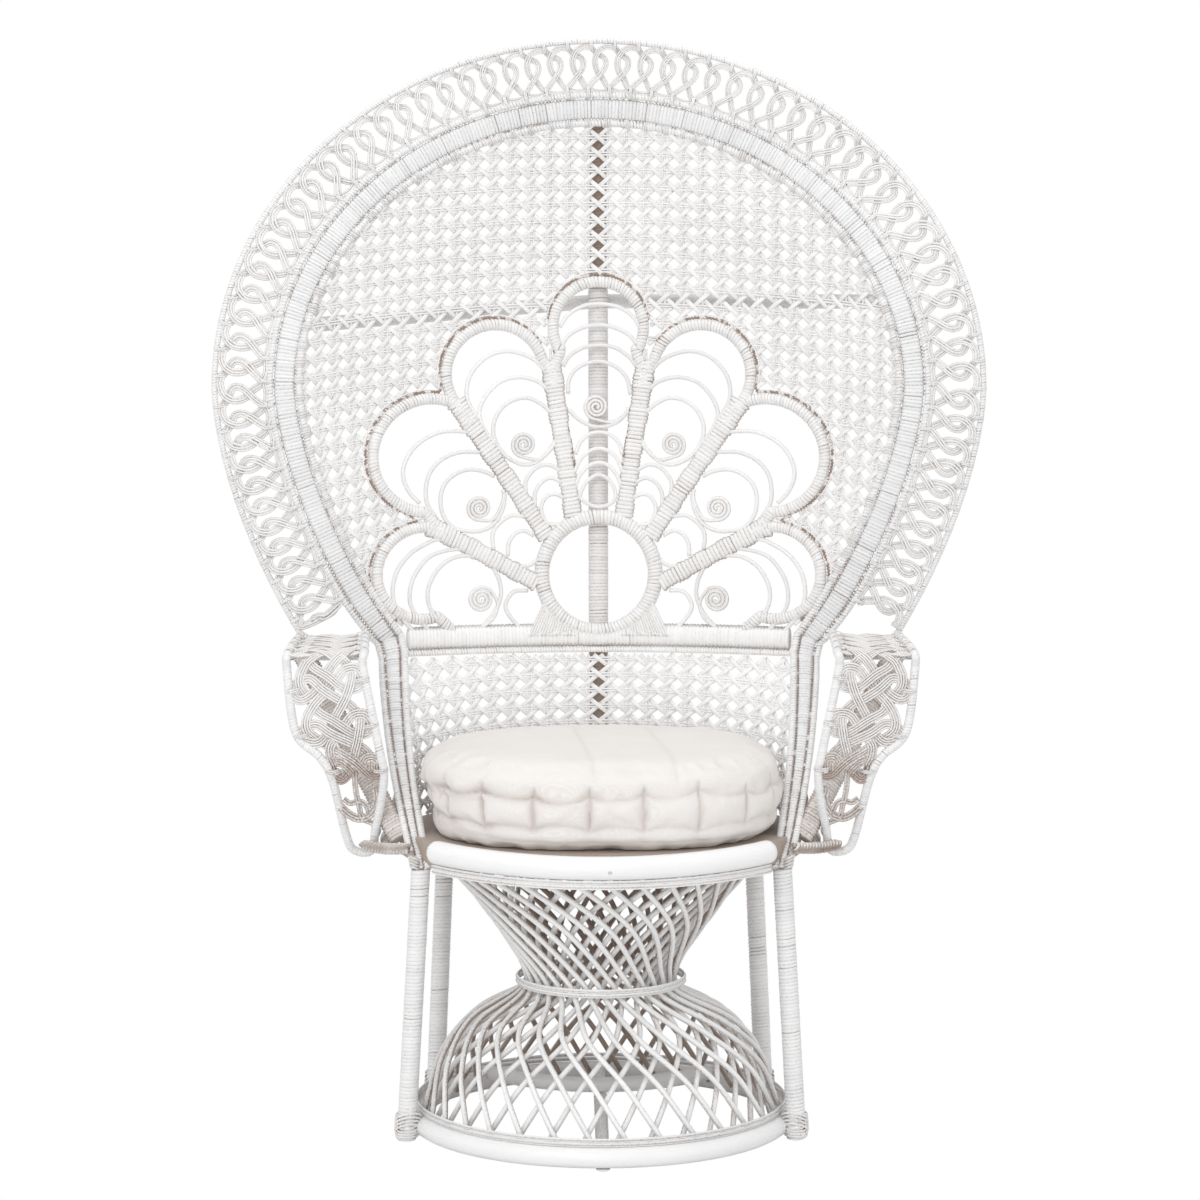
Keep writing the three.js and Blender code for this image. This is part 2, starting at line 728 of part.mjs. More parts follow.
// A flat scroll of nearly two turns, whose stem starts on the petal's pole
function scrollLine(k) {
  const [sx, sup] = scrollShares[k];
  const line = through(petalLine(k)).getSpacedPoints(80);
  const away = Math.atan2(-sup, -sx) - turn / 6;
  const coil = steps(12, (share) => {
    const angle = away - share * turn * scrollTurns;
    const radius = mix(scrollRadius, scrollRadius / 4, share) / fanReach;
    return onFan([sx + Math.cos(angle) * radius, sup + Math.sin(angle) * radius]);
  });
  const aim = onFan([sx + Math.cos(away) * scrollStemShare, sup + Math.sin(away) * scrollStemShare]);
  return [nearest(line, aim), ...coil];
}

function hubBody(grow) {
  const ring = new THREE.TorusGeometry(hubRadius, hubPole / 2 + grow, 5, 20).rotateX(turn / 4);
  const places = ring.getAttribute('position');
  for (let i = 0; i < places.count; i++) {
    const [x, z] = [places.getX(i), places.getZ(i) + hubHeight];
    places.setXYZ(i, x, places.getY(i) + onBack(x, z).y, z);
  }
  return solid(ring);
}

function baseRailBody(grow) {
  const reach = Math.abs(rimPlace(0).place.x) - innerPole / 4;
  return loft(steps(14, (share) => slab(onBack(mix(-reach, reach, share), baseRailLevel),
    at(0, 0, 1), baseRailHeight / 2 + grow, at(0, 1, 0), baseRailThickness / 2 + grow)));
}

const petalBody = (k, grow) => tube(petalLine(k), petalPole, 16, 5, grow);

function fan() {
  const baseRailGrown = baseRailBody(touchGap);
  const hubGrown = hubBody(touchGap);
  add('fan_base_rail', baseRailBody(0).subtract(innerPoleGrown), white);
  add('fan_hub', hubBody(0).subtract(baseRailGrown), white);
  let beside = [];
  for (let k = 0; k <= lastPetal; k++) {
    const arcs = petalArcs(k).map((points) => tube(points, arcCane, 8, 3));
    const whole = joined([petalBody(k, 0), ...arcs, tube(scrollLine(k), arcCane, 14, 3)]);
    const fitted = cutBy(whole, [hubGrown, baseRailGrown, innerPoleGrown, ...beside]);
    beside = [petalBody(k, touchGap)];
    if (k === 0) {
      add('fan_petal_middle', fitted, cane);
    } else {
      addPair(`fan_petal_${k}`, fitted, cane);
    }
  }
}

// Woven panels

// How far the fan's outline is from the hub along a ray
function fanEdge(angle) {
  const [rx, rup] = [Math.cos(angle), Math.sin(angle)];
  const edges = bulbShares.flatMap(([cx, cup, radius]) => [-1, 1].map((side) => {
    const along = rx * cx * side + rup * cup;
    const off = rx * cup - rup * cx * side;
    const edge = radius + (petalPole / 2 + weaveGap) / fanReach;
    return along > 0 && Math.abs(off) < edge ? along + Math.sqrt(edge ** 2 - off ** 2) : 0;
  }));
  return Math.max(...edges) * fanReach;
}

// How far the rim's inner pole is from the hub along a ray
function rimEdge(angle) {
  const ray = at(Math.cos(angle), 0, Math.sin(angle));
  const places = rim.getPoints(480).map((p) => p.sub(at(0, 0, hubHeight)));
  const nearRay = places.filter((p) => p.dot(ray) > 0)
    .reduce((best, p) => (p.clone().cross(ray).length() < best.clone().cross(ray).length() ? p : best));
  return nearRay.dot(ray) - innerPole / 2 - weaveGap;
}

// Both panels have a plain grid of openings, two columns wide in the back and one in the barrel
function upperWeave() {
  return sheet(4 * weaveOpenings, weaveShares.length - 1, (share, level, side) => {
    const angle = mix(-weaveEndAngle, 180 + weaveEndAngle, share) * degree;
    const reach = mix(fanEdge(angle), rimEdge(angle), weaveShares[level]);
    return onBack(Math.cos(angle) * reach, hubHeight + Math.sin(angle) * reach, side * weaveThickness / 2);
  }, (column, level) => [1, 2].includes(column % 4) && level % 2 === 1);
}

const lowerPoleLevel = baseRailLevel - (baseRailHeight + lowerPole) / 2 - touchGap;
const barrelReach = Math.abs(postAt(postShares[5]).place.x);

function barrelWeave() {
  const foot = railHeight + flatShare * backRailPole / 2 + touchGap;
  const head = lowerPoleLevel - poleFlatShare * lowerPole / 2 - touchGap;
  return sheet(2 * barrelOpenings, barrelShares.length - 1, (share, level, side) => {
    const low = seatPoint(mix(Math.PI + backRailAngle, -backRailAngle, share), foot);
    const high = onBack(mix(-barrelReach, barrelReach, share), head);
    const out = seatOut(low).multiplyScalar(side * weaveThickness / 2);
    return low.lerp(high, barrelShares[level]).add(out);
  }, (column, level) => column % 2 === 1 && level === 1);
}

function weaves() {
  add('back_weave', upperWeave(), cane);
  add('barrel_weave', barrelWeave(), cane);
  const line = steps(12, (share) => onBack(mix(-barrelReach, barrelReach, share), lowerPoleLevel));
  add('barrel_top_pole', tube(line, lowerPole, 12, poleSides).subtract(innerPoleGrown), white);
}

// Back post and the brace that passes behind it

function backSupports() {
  const behind = baseRailThickness / 2 + backPostPole / 2 + 3 * touchGap;
  const foot = at(0, seatSetBack + seatHalfDepth + (backRailPole + backPostPole) / 2 + touchGap, backPostFoot);
  const top = rimCentreHeight + rimTopReach;
  const line = [foot, onBack(0, armLevel, behind), onBack(0, mix(armLevel, top, 0.5), behind), onBack(0, top, behind)];
  add('back_post', tube(line, backPostPole, 10, roundSides), white);
  const share = (braceLevel - rimCentreHeight) / rimTopReach;
  const reach = rimHalfWidth * (1 - share ** rimTopRoundness) ** (1 / rimTopRoundness);
  const middle = behind + (flatShare * backPostPole + bracePole) / 2 + touchGap;
  const ends = (innerPole + bracePole) / 2 + touchGap;
  const bar = steps(8, (i) => onBack(mix(-reach, reach, i), braceLevel, mix(middle, ends, (2 * i - 1) ** 2)));
  add('rear_brace', tube(bar, bracePole, 10, poleSides), white);
}

// Arms

const armInside = through(armLine.slice(0, tipPlace));
const armOutside = through(armLine.slice(tipPlace).reverse());

// A place between the pole's two runs: along from the back (0) to the tip (1), across from inside (0) to outside (1)
const onArm = (along, across) => armInside.getPointAt(along).lerp(armOutside.getPointAt(along), across);

// Two flat strands that wave from run to run and cross each other
function armStrands(grow) {
  const place = (share, phase) => {
    const along = mix(strandStartShare, strandEndShare, share);
    const room = onArm(along, 1).distanceTo(onArm(along, 0));
    const reach = (room - armPole - armStrandWidth) / 2 - 3 * touchGap;
    return onArm(along, (1 + (reach / room) * 2 * Math.cos(phase + share * armWaves * Math.PI)) / 2);
  };
  const strands = [0, Math.PI].map((phase) => loft(steps(armWaves * 3, (share) => {
    const before = place(Math.max(share - fineShare, 0), phase);
    const ahead = place(Math.min(share + fineShare, 1), phase).sub(before);
    const along = mix(strandStartShare, strandEndShare, share);
    const run = onArm(along + fineShare, 0).sub(onArm(along - fineShare, 0));
    const face = onArm(along, 1).sub(onArm(along, 0)).cross(run).normalize();
    const side = face.clone().cross(ahead).normalize();
    return slab(place(share, phase), side, armStrandWidth / 2 + grow, face, armStrandThickness / 2 + grow);
  })));
  return joined(strands);
}

// Two bars under the strands, at the front of the arm's top and at its crease
function armBars() {
  const behind = (armBarPole + armStrandThickness) / 2 + 2 * touchGap;
  const topBar = [armInner, armOuter].map((x) => at(-x, -armFront + armBend * 1.5, armTop - behind));
  const creaseBar = [creaseInner, creaseOuter].map((x) => at(-x, -armFront + armBend / 5 + behind,
    armCrease - armBend / 2));
  return [topBar, creaseBar].map((ends) => tube(ends, armBarPole, 1, poleSides));
}

function armStrut() {
  const top = at(-armOuter, outerEnd.y - armBend, armTop - armPole / 2 - strutWidth / 2);
  const foot = at(-strutFootOut, strutFootBack, strutFootHeight);
  const along = foot.clone().sub(top).normalize();
  const side = along.clone().cross(at(0, 1, 0)).normalize();
  const face = along.clone().cross(side).normalize();
  return (grow) => loft([top, foot].map((p) => slab(p, side, strutWidth / 2 + grow, face, strutThickness / 2 + grow)));
}

function arms() {
  const strutBody = armStrut();
  const frame = joined([tube(armLine, armPole, armSteps, poleSides), ...armBars()]);
  addPair('arm_pole', frame.subtract(outerPoleGrown), white);
  addPair('arm_weave', armStrands(0), cane);
  addPair('arm_strut', cutBy(strutBody(0), [...postGrown, armGrown, backRailGrown, armStrands(touchGap)]), white);
  const tieLine = [
    at(-armTipInner, armTipBack, armTip),
    at(-(armTipInner + legTopOut) / 2, (armTipBack - legTopFront) / 2, armTip - tiePole / 2),
    at(-legTopOut - postFootSpan / 2, -legTopFront + tiePole, armTip + tiePole),
  ];
  const around = [armGrown, strutBody(touchGap), backRailGrown, ...postGrown];
  addPair('arm_tie', cutBy(tube(tieLine, tiePole, 3, poleSides), around), cane);
}

// Cushion: its side is drawn in between three tiers of stitches, and its crown is tufted

// Shares of the half width, of the thickness (above 1: of the crown), and of the tuft's depth
const cushionSideShares = [[0.42, 0, 0], [0.86, 0, 0], [1, 1 / 6, 0.3], [1, 1 / 3, 1], [1, 1 / 2, 0.3],
  [1, 2 / 3, 1], [1, 5 / 6, 0.3]];
const cushionTopShares = [[0.86, 0.35, 0.4], [0.68, 0.7, 1], [0.42, 0.85, 0.3], [0.2, 1, 1]];

function cushion() {
  const low = deckTop + touchGap;
  const high = low + cushionThickness;
  const around = cushionColumns * 2;
  const positions = [0, seatSetBack, low];
  const ring = (inset, z, pull, drop) => {
    for (let i = 0; i < around; i++) {
      const angle = (i / around) * turn;
      const tuft = i % 2 === 0 ? cushionTuft : 0;
      positions.push(Math.cos(angle) * (cushionHalfWidth - inset - pull * tuft),
        seatSetBack + Math.sin(angle) * (cushionHalfDepth - inset - pull * tuft), z - drop * tuft);
    }
  };
  for (const [share, up, pull] of cushionSideShares) ring((1 - share) * cushionHalfDepth, mix(low, high, up), pull, 0);
  ring(cushionCorner, high, 0, 0);
  for (const [share, up, drop] of cushionTopShares) {
    ring((1 - share) * cushionHalfDepth, high + cushionCrown * up, 0, drop);
  }
  const top = positions.length / 3;
  positions.push(0, seatSetBack, high + cushionCrown - cushionTuft);
  const faces = [];
  for (let i = 0; i < around; i++) {
    const next = (i + 1) % around;
    faces.push(0, 1 + next, 1 + i, top - around + i, top - around + next, top);
    for (let ringStart = 1; ringStart + around < top; ringStart += around) {
      const [a, b] = [ringStart + i, ringStart + next];
      faces.push(a, b, b + around, a, b + around, a + around);
    }
  }
  add('cushion', meshed(positions, faces), linen);
}

rimFrame();
border();
base();
pedestal();
seat();
legs();
fan();
weaves();
backSupports();
arms();
cushion();

const bounds = new THREE.Box3().setFromObject(chair);
const centre = bounds.getCenter(at(0, 0, 0));
chair.position.set(-centre.x, -centre.y, -bounds.min.z);

export default chair;
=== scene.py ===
import math

import bpy
import numpy as np
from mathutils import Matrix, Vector


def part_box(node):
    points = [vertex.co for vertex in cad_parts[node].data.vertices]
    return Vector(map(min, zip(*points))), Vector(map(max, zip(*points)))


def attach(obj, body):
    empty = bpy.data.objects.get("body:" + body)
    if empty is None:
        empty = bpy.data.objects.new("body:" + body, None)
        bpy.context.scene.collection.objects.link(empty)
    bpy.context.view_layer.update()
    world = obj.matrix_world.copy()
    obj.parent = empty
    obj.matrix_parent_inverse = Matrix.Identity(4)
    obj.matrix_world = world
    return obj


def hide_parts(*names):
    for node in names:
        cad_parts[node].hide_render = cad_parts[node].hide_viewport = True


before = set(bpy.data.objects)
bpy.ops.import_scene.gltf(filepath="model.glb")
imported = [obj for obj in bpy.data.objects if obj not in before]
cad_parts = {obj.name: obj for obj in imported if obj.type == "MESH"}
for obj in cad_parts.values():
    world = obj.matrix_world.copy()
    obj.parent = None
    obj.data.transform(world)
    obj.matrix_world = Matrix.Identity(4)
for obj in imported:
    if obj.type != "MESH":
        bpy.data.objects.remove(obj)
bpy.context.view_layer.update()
chance = np.random.default_rng(11)

# Lengths are millimetres from the centre of the bottom ring on the floor until a mesh is made.
ring_low, ring_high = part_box("bottom_ring")
origin = np.array([(ring_low.x + ring_high.x) / 2, (ring_low.y + ring_high.y) / 2, 0.0])

TURN = 2 * math.pi


# Lines and their frames


def vec(*values):
    return np.array(values, float)


def unit(vectors):
    return vectors / np.maximum(np.linalg.norm(vectors, axis=-1, keepdims=True), 1e-9)


def mix(a, b, share):
    return a + (b - a) * share


UP, FRONT, MIRROR = vec(0, 0, 1), vec(0, -1, 0), vec(-1, 1, 1)
HANDS = (("left", vec(1, 1, 1)), ("right", MIRROR))


def ways_along(line):
    """How far along the line each of its points is."""
    return np.concatenate([[0], np.cumsum(np.linalg.norm(np.diff(line, axis=0), axis=1))])


def even(line, step, *others, times=1):
    """The line again with evenly spaced points, a multiple of times plus one, and what belongs to its points."""
    line = np.asarray(line, float)
    ways = ways_along(line)
    count = max(round(ways[-1] / step / times), 1) * times
    at = np.linspace(0, ways[-1], count + 1)
    made = []
    for data in (line, *others):
        data = np.asarray(data, float)
        rows = data.reshape(len(data), -1)
        columns = [np.interp(at, ways, rows[:, i]) for i in range(rows.shape[1])]
        made.append(np.stack(columns, 1).reshape((len(at),) + data.shape[1:]))
    return made if others else made[0]


def smooth(points, step, times=1):
    """A smooth line through the points, with evenly spaced points."""
    p = np.asarray(points, float)
    p = np.concatenate([2 * p[:1] - p[1:2], p, 2 * p[-1:] - p[-2:-1]])
    t = np.linspace(0, 1, 17)[:-1][None, :, None]
    a, b, c, d = p[:-3, None], p[1:-2, None], p[2:-1, None], p[3:, None]
    fine = 0.5 * (2 * b + (c - a) * t + (2 * a - 5 * b + 4 * c - d) * t**2 + (3 * b - a - 3 * c + d) * t**3)
    return even(np.concatenate([fine.reshape(-1, p.shape[1]), p[-2:-1]]), step, times=times)


def frame_of(line, up, closed=False):
    """Along, side and face directions at each point of a line, the face turned as near to up as it can be."""
    along = unit(np.roll(line, -1, 0) - np.roll(line, 1, 0) if closed else np.gradient(line, axis=0))
    side = unit(np.cross(along, np.broadcast_to(up, line.shape)))
    return along, side, np.cross(side, along)


# Sections: points round a centre, and the direction that is out of the section at each


def disc(diameter, sides=10):
    angle = (np.arange(sides) + 0.5) / sides * TURN
    out = np.stack([np.cos(angle), np.sin(angle)], 1)
    return out * diameter / 2, out


def flat(width, thickness, crown, across):
    """A flat strip with rounded edges, thicker in its middle by the crown."""
    run = np.linspace(-1, 1, across)
    edge = (width - thickness) / 2
    high = thickness / 2 + crown * (1 - run**2)
    top = np.stack([-run * edge, high], 1)
    points = np.concatenate([[[width / 2, 0]], top, [[-width / 2, 0]], (top * [1, -1])[::-1]])
    out = np.concatenate([[[1, 0]], top * 0 + [0, 1], [[-1, 0]], top * 0 + [0, -1]])
    return points, out


def sized(section, sizes):
    """A section that is larger or smaller from point to point of its line."""
    return section[0][None] * np.asarray(sizes)[:, None, None], section[1]


def ribbon(edge, width, thickness):
    """A flat section that is wider or narrower from point to point of its line."""
    points, out = flat(2, edge, 0.06, 7)
    high = np.broadcast_to(points[:, 1] * thickness, (len(width), len(points)))
    return np.stack([points[:, 0] * width[:, None] / 2, high], -1), out


def put_in_scene(name, data):
    thing = bpy.data.objects.new(name, data)
    bpy.context.scene.collection.objects.link(thing)
    return thing


# How deep the groove is at the points of one turn of wrapping, which starts at its seam
GROOVE = vec(1, 0.28, 0, 0.28)
STEPS = len(GROOVE)


class Piece:
    """Gathers surfaces and makes one mesh, with what its material reads: the run of the cane, wear and painted shade,
    and bare cane and painted shade.
    """

    def __init__(self):
        self.points, self.loops, self.sizes, self.flow, self.marks, self.count = [], [], [], [], [], 0

    def rings(self, grid, flow, wear_and_shade, bare, closed=False):
        n, k = grid.shape[:2]
        index = self.count + np.arange(n * k).reshape(n, k)
        around = np.roll(index, -1, 1)
        if closed:
            index, around = np.vstack([index, index[:1]]), np.vstack([around, around[:1]])
        quads = np.stack([index[:-1], index[1:], around[1:], around[:-1]], -1).reshape(-1)
        self.loops.append(quads)
        self.sizes.append(np.full(len(quads) // 4, 4))
        if not closed:
            self.loops += [index[0], index[-1][::-1]]
            self.sizes.append(np.array([k, k]))
        self.points.append(grid.reshape(-1, 3))
        self.flow.append(np.broadcast_to(flow, grid.shape).reshape(-1, 3))
        marks = np.stack([np.broadcast_to(wear_and_shade, (n, k)), np.broadcast_to(bare, (n, k))], -1)
        self.marks.append(marks.reshape(-1, 2))
        self.count += n * k

    def sweep(self, line, up, section, wear_and_shade=0.0, bare=0.0, closed=False, edge=0.3):
        """A strand of one section along a line, darkened along its side edges as painted shade."""
        line = line[:-1] if closed else line
        _, side, face = frame_of(line, up, closed)
        points, out = section
        grid = line[:, None] + points[..., 0:1] * side[:, None] + points[..., 1:2] * face[:, None]
        flow = np.empty(grid.shape)
        flow[..., 0] = ways_along(line)[:, None]
        flow[..., 1] = np.linspace(0, np.abs(points).max() * 4, points.shape[-2])
        flow[..., 2] = chance.random()
        wear_and_shade = np.asarray(wear_and_shade, float)
        wear_and_shade = (wear_and_shade[:, None] if wear_and_shade.ndim == 1 else wear_and_shade) + edge * np.abs(out[:, 0]) ** 2.5
        self.rings(grid, flow, wear_and_shade, bare, closed)

    def wrapped(self, line, up, section, pitch, depth, bare=0.0, lean=0.2, worn=0.75):
        """A pole wrapped with cane turn beside turn, each a little different. Its line has STEPS points to a turn."""
        along, side, face = frame_of(line, up)
        points, out = section
        count = len(line)
        turn = np.arange(count) // STEPS
        turns = turn.max() + 1
        low = GROOVE[np.arange(count) % STEPS]
        proud = chance.normal(0, 0.16, turns)[turn] * depth * (1 - low)
        deep = low * depth * (1 + 0.5 * chance.random(turns)[turn])
        nick = (chance.random(turns) < 0.07)[turn] * low
        rim = points + out * (proud - deep - nick * depth * 0.6)[:, None, None]
        slant = pitch * (lean + chance.normal(0, 0.06, turns)[turn])
        slant = np.atleast_2d(points[..., 0] / np.abs(points).max()) * slant[:, None]
        grid = line[:, None] + rim[..., 0:1] * side[:, None] + rim[..., 1:2] * face[:, None]
        flow = np.empty(grid.shape)
        flow[..., 0] = np.linspace(0, np.abs(points).max() * TURN, points.shape[-2])
        flow[..., 1] = (np.arange(count) * pitch / STEPS)[:, None]
        flow[..., 2] = chance.random(turns)[turn][:, None]
        # The grooves between turns are darkened, partly by dirt and partly as painted shade; a few nicks are real wear.
        wear_and_shade = low**1.5 * (worn * (0.6 + 0.5 * chance.random(turns)[turn])) + nick * 0.6
        # The side edges of a flat section are darkened as painted shade in the slit beside it.
        edge = 0.85 * (np.abs(out[:, 0]) > 0.99)
        wear_and_shade = np.clip(np.maximum(wear_and_shade[:, None], edge), 0, 1)
        self.rings(grid + slant[..., None] * along[:, None], flow, wear_and_shade, bare)

    def coil(self, centre, axis, out, reach, turns, pitch, strip, wear_and_shade):
        """A lashing: turns of cane round an oval, whose half sizes are reach, one beside the other."""
        axis, out = unit(vec(*axis)), unit(vec(*out))
        share = np.linspace(0, 1, int(turns * 12) + 1)[:, None]
        angle = share * turns * TURN
        spoke = np.cos(angle) * reach[0] * out + np.sin(angle) * reach[1] * np.cross(axis, out)
        self.sweep(centre + spoke + axis * pitch * turns * (share - 0.5), spoke, flat(*strip, 0.1, 3), wear_and_shade)

    def made(self, name, material, slot, node=None, body="chair"):
        """Makes the mesh, which takes the place of one node of the CAD model."""
        mesh = bpy.data.meshes.new(name)
        points = np.concatenate(self.points)
        points[:, 2] = np.maximum(points[:, 2], 0)
        points = (points / 1000 + origin).astype(np.float32)
        loops, sizes = np.concatenate(self.loops), np.concatenate(self.sizes)
        mesh.vertices.add(len(points))
        mesh.vertices.foreach_set("co", points.ravel())
        mesh.loops.add(len(loops))
        mesh.loops.foreach_set("vertex_index", loops.astype(np.int32))
        mesh.polygons.add(len(sizes))
        mesh.polygons.foreach_set("loop_start", (np.cumsum(sizes) - sizes).astype(np.int32))
        mesh.polygons.foreach_set("use_smooth", np.ones(len(sizes), bool))
        mesh.update(calc_edges=True)
        flow = mesh.attributes.new("flow", "FLOAT_VECTOR", "POINT")
        runs = np.concatenate(self.flow) * [0.001, 0.001, 1]
        flow.data.foreach_set("vector", runs.astype(np.float32).ravel())
        marks = np.concatenate(self.marks).astype(np.float32)
        for i, mark in enumerate(("wear_and_shade", "bare")):
            mesh.attributes.new(mark, "FLOAT", "POINT").data.foreach_set("value", marks[:, i].copy())
        mesh.materials.append(material)
        piece = put_in_scene(name, mesh)
        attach(piece, body)
        if node:
            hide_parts(node)
        return piece


def make_pole(name, material, node, way, *data, **kind):
    """A piece that is one strand alone, where way is Piece.sweep or Piece.wrapped."""
    piece = Piece()
    way(piece, *data, **kind)
    piece.made(name, material, "painted_pole", node)


def make_strips(name, node, lines, section, closed, edge):
    """Thin half-round strips, one over the other, at the places that the keys of lines name."""
    for place, line in lines.items():
        strip = f"{name}_{place}", SMOOTH, f"{node}_{place}"
        make_pole(*strip, Piece.sweep, line, UP, section, -0.1, 0, closed, edge)


# Materials


class Nodes:
    """Makes a material's nodes by short calls."""

    def __init__(self, name):
        self.material = bpy.data.materials.new(name)
        self.material.use_nodes = True
        self.tree = self.material.node_tree
        self.surface = self.tree.nodes["Principled BSDF"]

    def add(self, kind, **sockets):
        node = self.tree.nodes.new("ShaderNode" + kind)
        for key, value in sockets.items():
            self.put(node.inputs[key.replace("_", " ")], value)
        return node

    def put(self, socket, value):
        if isinstance(value, bpy.types.NodeSocket):
            self.tree.links.new(value, socket)
        else:
            socket.default_value = value

    def read(self, name, output):
        node = self.tree.nodes.new("ShaderNodeAttribute")
        node.attribute_name = name
        return node.outputs[output]

    def maths(self, kind, a, b=0.0):
        node = self.tree.nodes.new("ShaderNodeMath")
        node.operation = kind
        self.put(node.inputs[0], a)
        self.put(node.inputs[1], b)
        return node.outputs[0]

    def scaled(self, vector, by):
        node = self.tree.nodes.new("ShaderNodeVectorMath")
        node.operation = "MULTIPLY"
        self.put(node.inputs[0], vector)
        node.inputs[1].default_value = by
        return node.outputs[0]

    def noise(self, vector, scale, detail=3.0, rough=0.55):
        return self.add("TexNoise", Vector=vector, Scale=scale, Detail=detail, Roughness=rough).outputs["Fac"]

    def spread(self, value, low, high, first=0.0, last=1.0):
        node = self.add("MapRange", Value=value, From_Min=low, From_Max=high, To_Min=first, To_Max=last)
        return node.outputs["Result"]

    def blend(self, share, a, b):
        node = self.tree.nodes.new("ShaderNodeMix")
        node.data_type = "RGBA"
        self.put(node.inputs[0], share)
        self.put(node.inputs[6], a)
        self.put(node.inputs[7], b)
        return node.outputs[2]

    def bump(self, height, distance, strength, below=None):
        node = self.add("Bump", Height=height, Distance=distance, Strength=strength)
        if below is not None:
            self.put(node.inputs["Normal"], below)
        return node.outputs["Normal"]

    def place(self):
        return self.tree.nodes.new("ShaderNodeTexCoord").outputs["Object"]


def painted(name, tint, shade, stain_and_shade, bare, grain, gloss):
    """White paint on cane: it varies from strand to strand, is darkened in the grooves, at edges and behind other
    strands by stain and painted shade, and shows fibres.
    """
    tint, shade, stain_and_shade, bare = (colour + (1,) for colour in (tint, shade, stain_and_shade, bare))
    n = Nodes(name)
    place = n.place()
    flow, wear_and_shade, bare_and_shade_share = n.read("flow", "Vector"), n.read("wear_and_shade", "Fac"), n.read("bare", "Fac")
    strand = n.add("SeparateXYZ", Vector=flow).outputs["Z"]
    fibre = n.noise(n.scaled(flow, (45, 1100, 90)), 1.0, 2.0)
    cloud = n.noise(place, 9.0, 3.0)
    speck = n.noise(place, 420.0, 2.0, 0.7)
    tone = n.maths("ADD", n.maths("MULTIPLY", strand, 0.55), n.maths("MULTIPLY", cloud, 0.6))
    colour = n.blend(n.spread(tone, 0.25, 0.95), tint, shade)
    # This darkening towards the stain colour is partly dirt and wear, and partly painted shade in grooves and gaps.
    worn = n.maths("ADD", wear_and_shade, n.spread(speck, 0.35, 0.75, -0.22, 0.22))
    dirt_and_shade = n.maths("MULTIPLY", n.spread(worn, 0.22, 0.95), n.spread(cloud, 0.3, 0.62, 0.45, 1.0))
    colour = n.blend(dirt_and_shade, colour, stain_and_shade)
    chips = n.maths("MULTIPLY", n.spread(speck, 0.66, 0.72), n.spread(n.maths("ADD", cloud, wear_and_shade), 0.5, 0.62))
    colour = n.blend(n.maths("MULTIPLY", chips, 0.55), colour, stain_and_shade)
    streak = n.noise(n.scaled(flow, (30, 500, 60)), 1.0)
    brown_streaks = n.blend(n.spread(streak, 0.3, 0.7), bare, (0.29, 0.21, 0.17, 1))
    # Where the mesh marks it, the brown of bare cane shows; in many places that brown is painted shade.
    hold = n.maths("ADD", bare_and_shade_share, n.spread(speck, 0.35, 0.7, -0.25, 0.25))
    colour = n.blend(n.maths("MULTIPLY", n.spread(hold, 0.35, 0.75), bare_and_shade_share), colour, brown_streaks)
    n.put(n.surface.inputs["Base Color"], colour)
    n.put(n.surface.inputs["Roughness"], n.spread(n.maths("ADD", fibre, dirt_and_shade), 0.3, 1.3, gloss, gloss + 0.25))
    n.surface.inputs["Specular IOR Level"].default_value = 0.4
    brush = n.bump(n.noise(place, 160.0, 2.0), 0.0006, 0.25)
    n.put(n.surface.inputs["Normal"], n.bump(fibre, 0.0004, grain, brush))
    return n.material


BARE_AND_SHADE = (0.47, 0.37, 0.31)
POLE = painted("painted_pole", (0.92, 0.918, 0.912), (0.83, 0.833, 0.845), (0.33, 0.26, 0.21), BARE_AND_SHADE, 0.25, 0.34)
CANE = painted("painted_cane", (0.91, 0.905, 0.90), (0.82, 0.812, 0.805), (0.30, 0.22, 0.17), BARE_AND_SHADE, 0.4, 0.42)
# A lighter copy of the white paint: painted light on the fan's base rail, the barrel and the pedestal.
PALE = painted("lit_pale_paint", (0.95, 0.948, 0.945), (0.89, 0.888, 0.886), (0.40, 0.32, 0.27), BARE_AND_SHADE, 0.3, 0.38)
SMOOTH = painted(
    "smooth_paint", (0.93, 0.93, 0.927), (0.86, 0.864, 0.872), (0.36, 0.28, 0.23), (0.36, 0.30, 0.25), 0.12, 0.24
)
BAND = painted("painted_band", (0.90, 0.901, 0.904), (0.80, 0.803, 0.813), (0.27, 0.22, 0.20), BARE_AND_SHADE, 0.4, 0.42)
# Dark brown for the seat deck, which lies in shadow: painted shade.
SEAT_SHADE = painted("bare_seat", (0.47, 0.40, 0.35), (0.37, 0.31, 0.27), (0.2, 0.15, 0.12), (0.37, 0.3, 0.25), 0.4, 0.5)
WORN = painted(
    "worn_paint", (0.87, 0.855, 0.85), (0.76, 0.735, 0.725), (0.28, 0.21, 0.17), (0.38, 0.28, 0.22), 0.35, 0.45
)
# A darker, browner copy of the paint, partly thin paint and partly painted shade, for the seat's back rail, the arm
# struts and the stitched line round the fan.
BROWN = painted(
    "thin_paint_and_shade", (0.84, 0.81, 0.795), (0.66, 0.605, 0.57), (0.22, 0.15, 0.11), (0.34, 0.23, 0.16), 0.5, 0.5
)


# Back surface, rim and side posts. Spans are measured outwards from the rim's inner pole

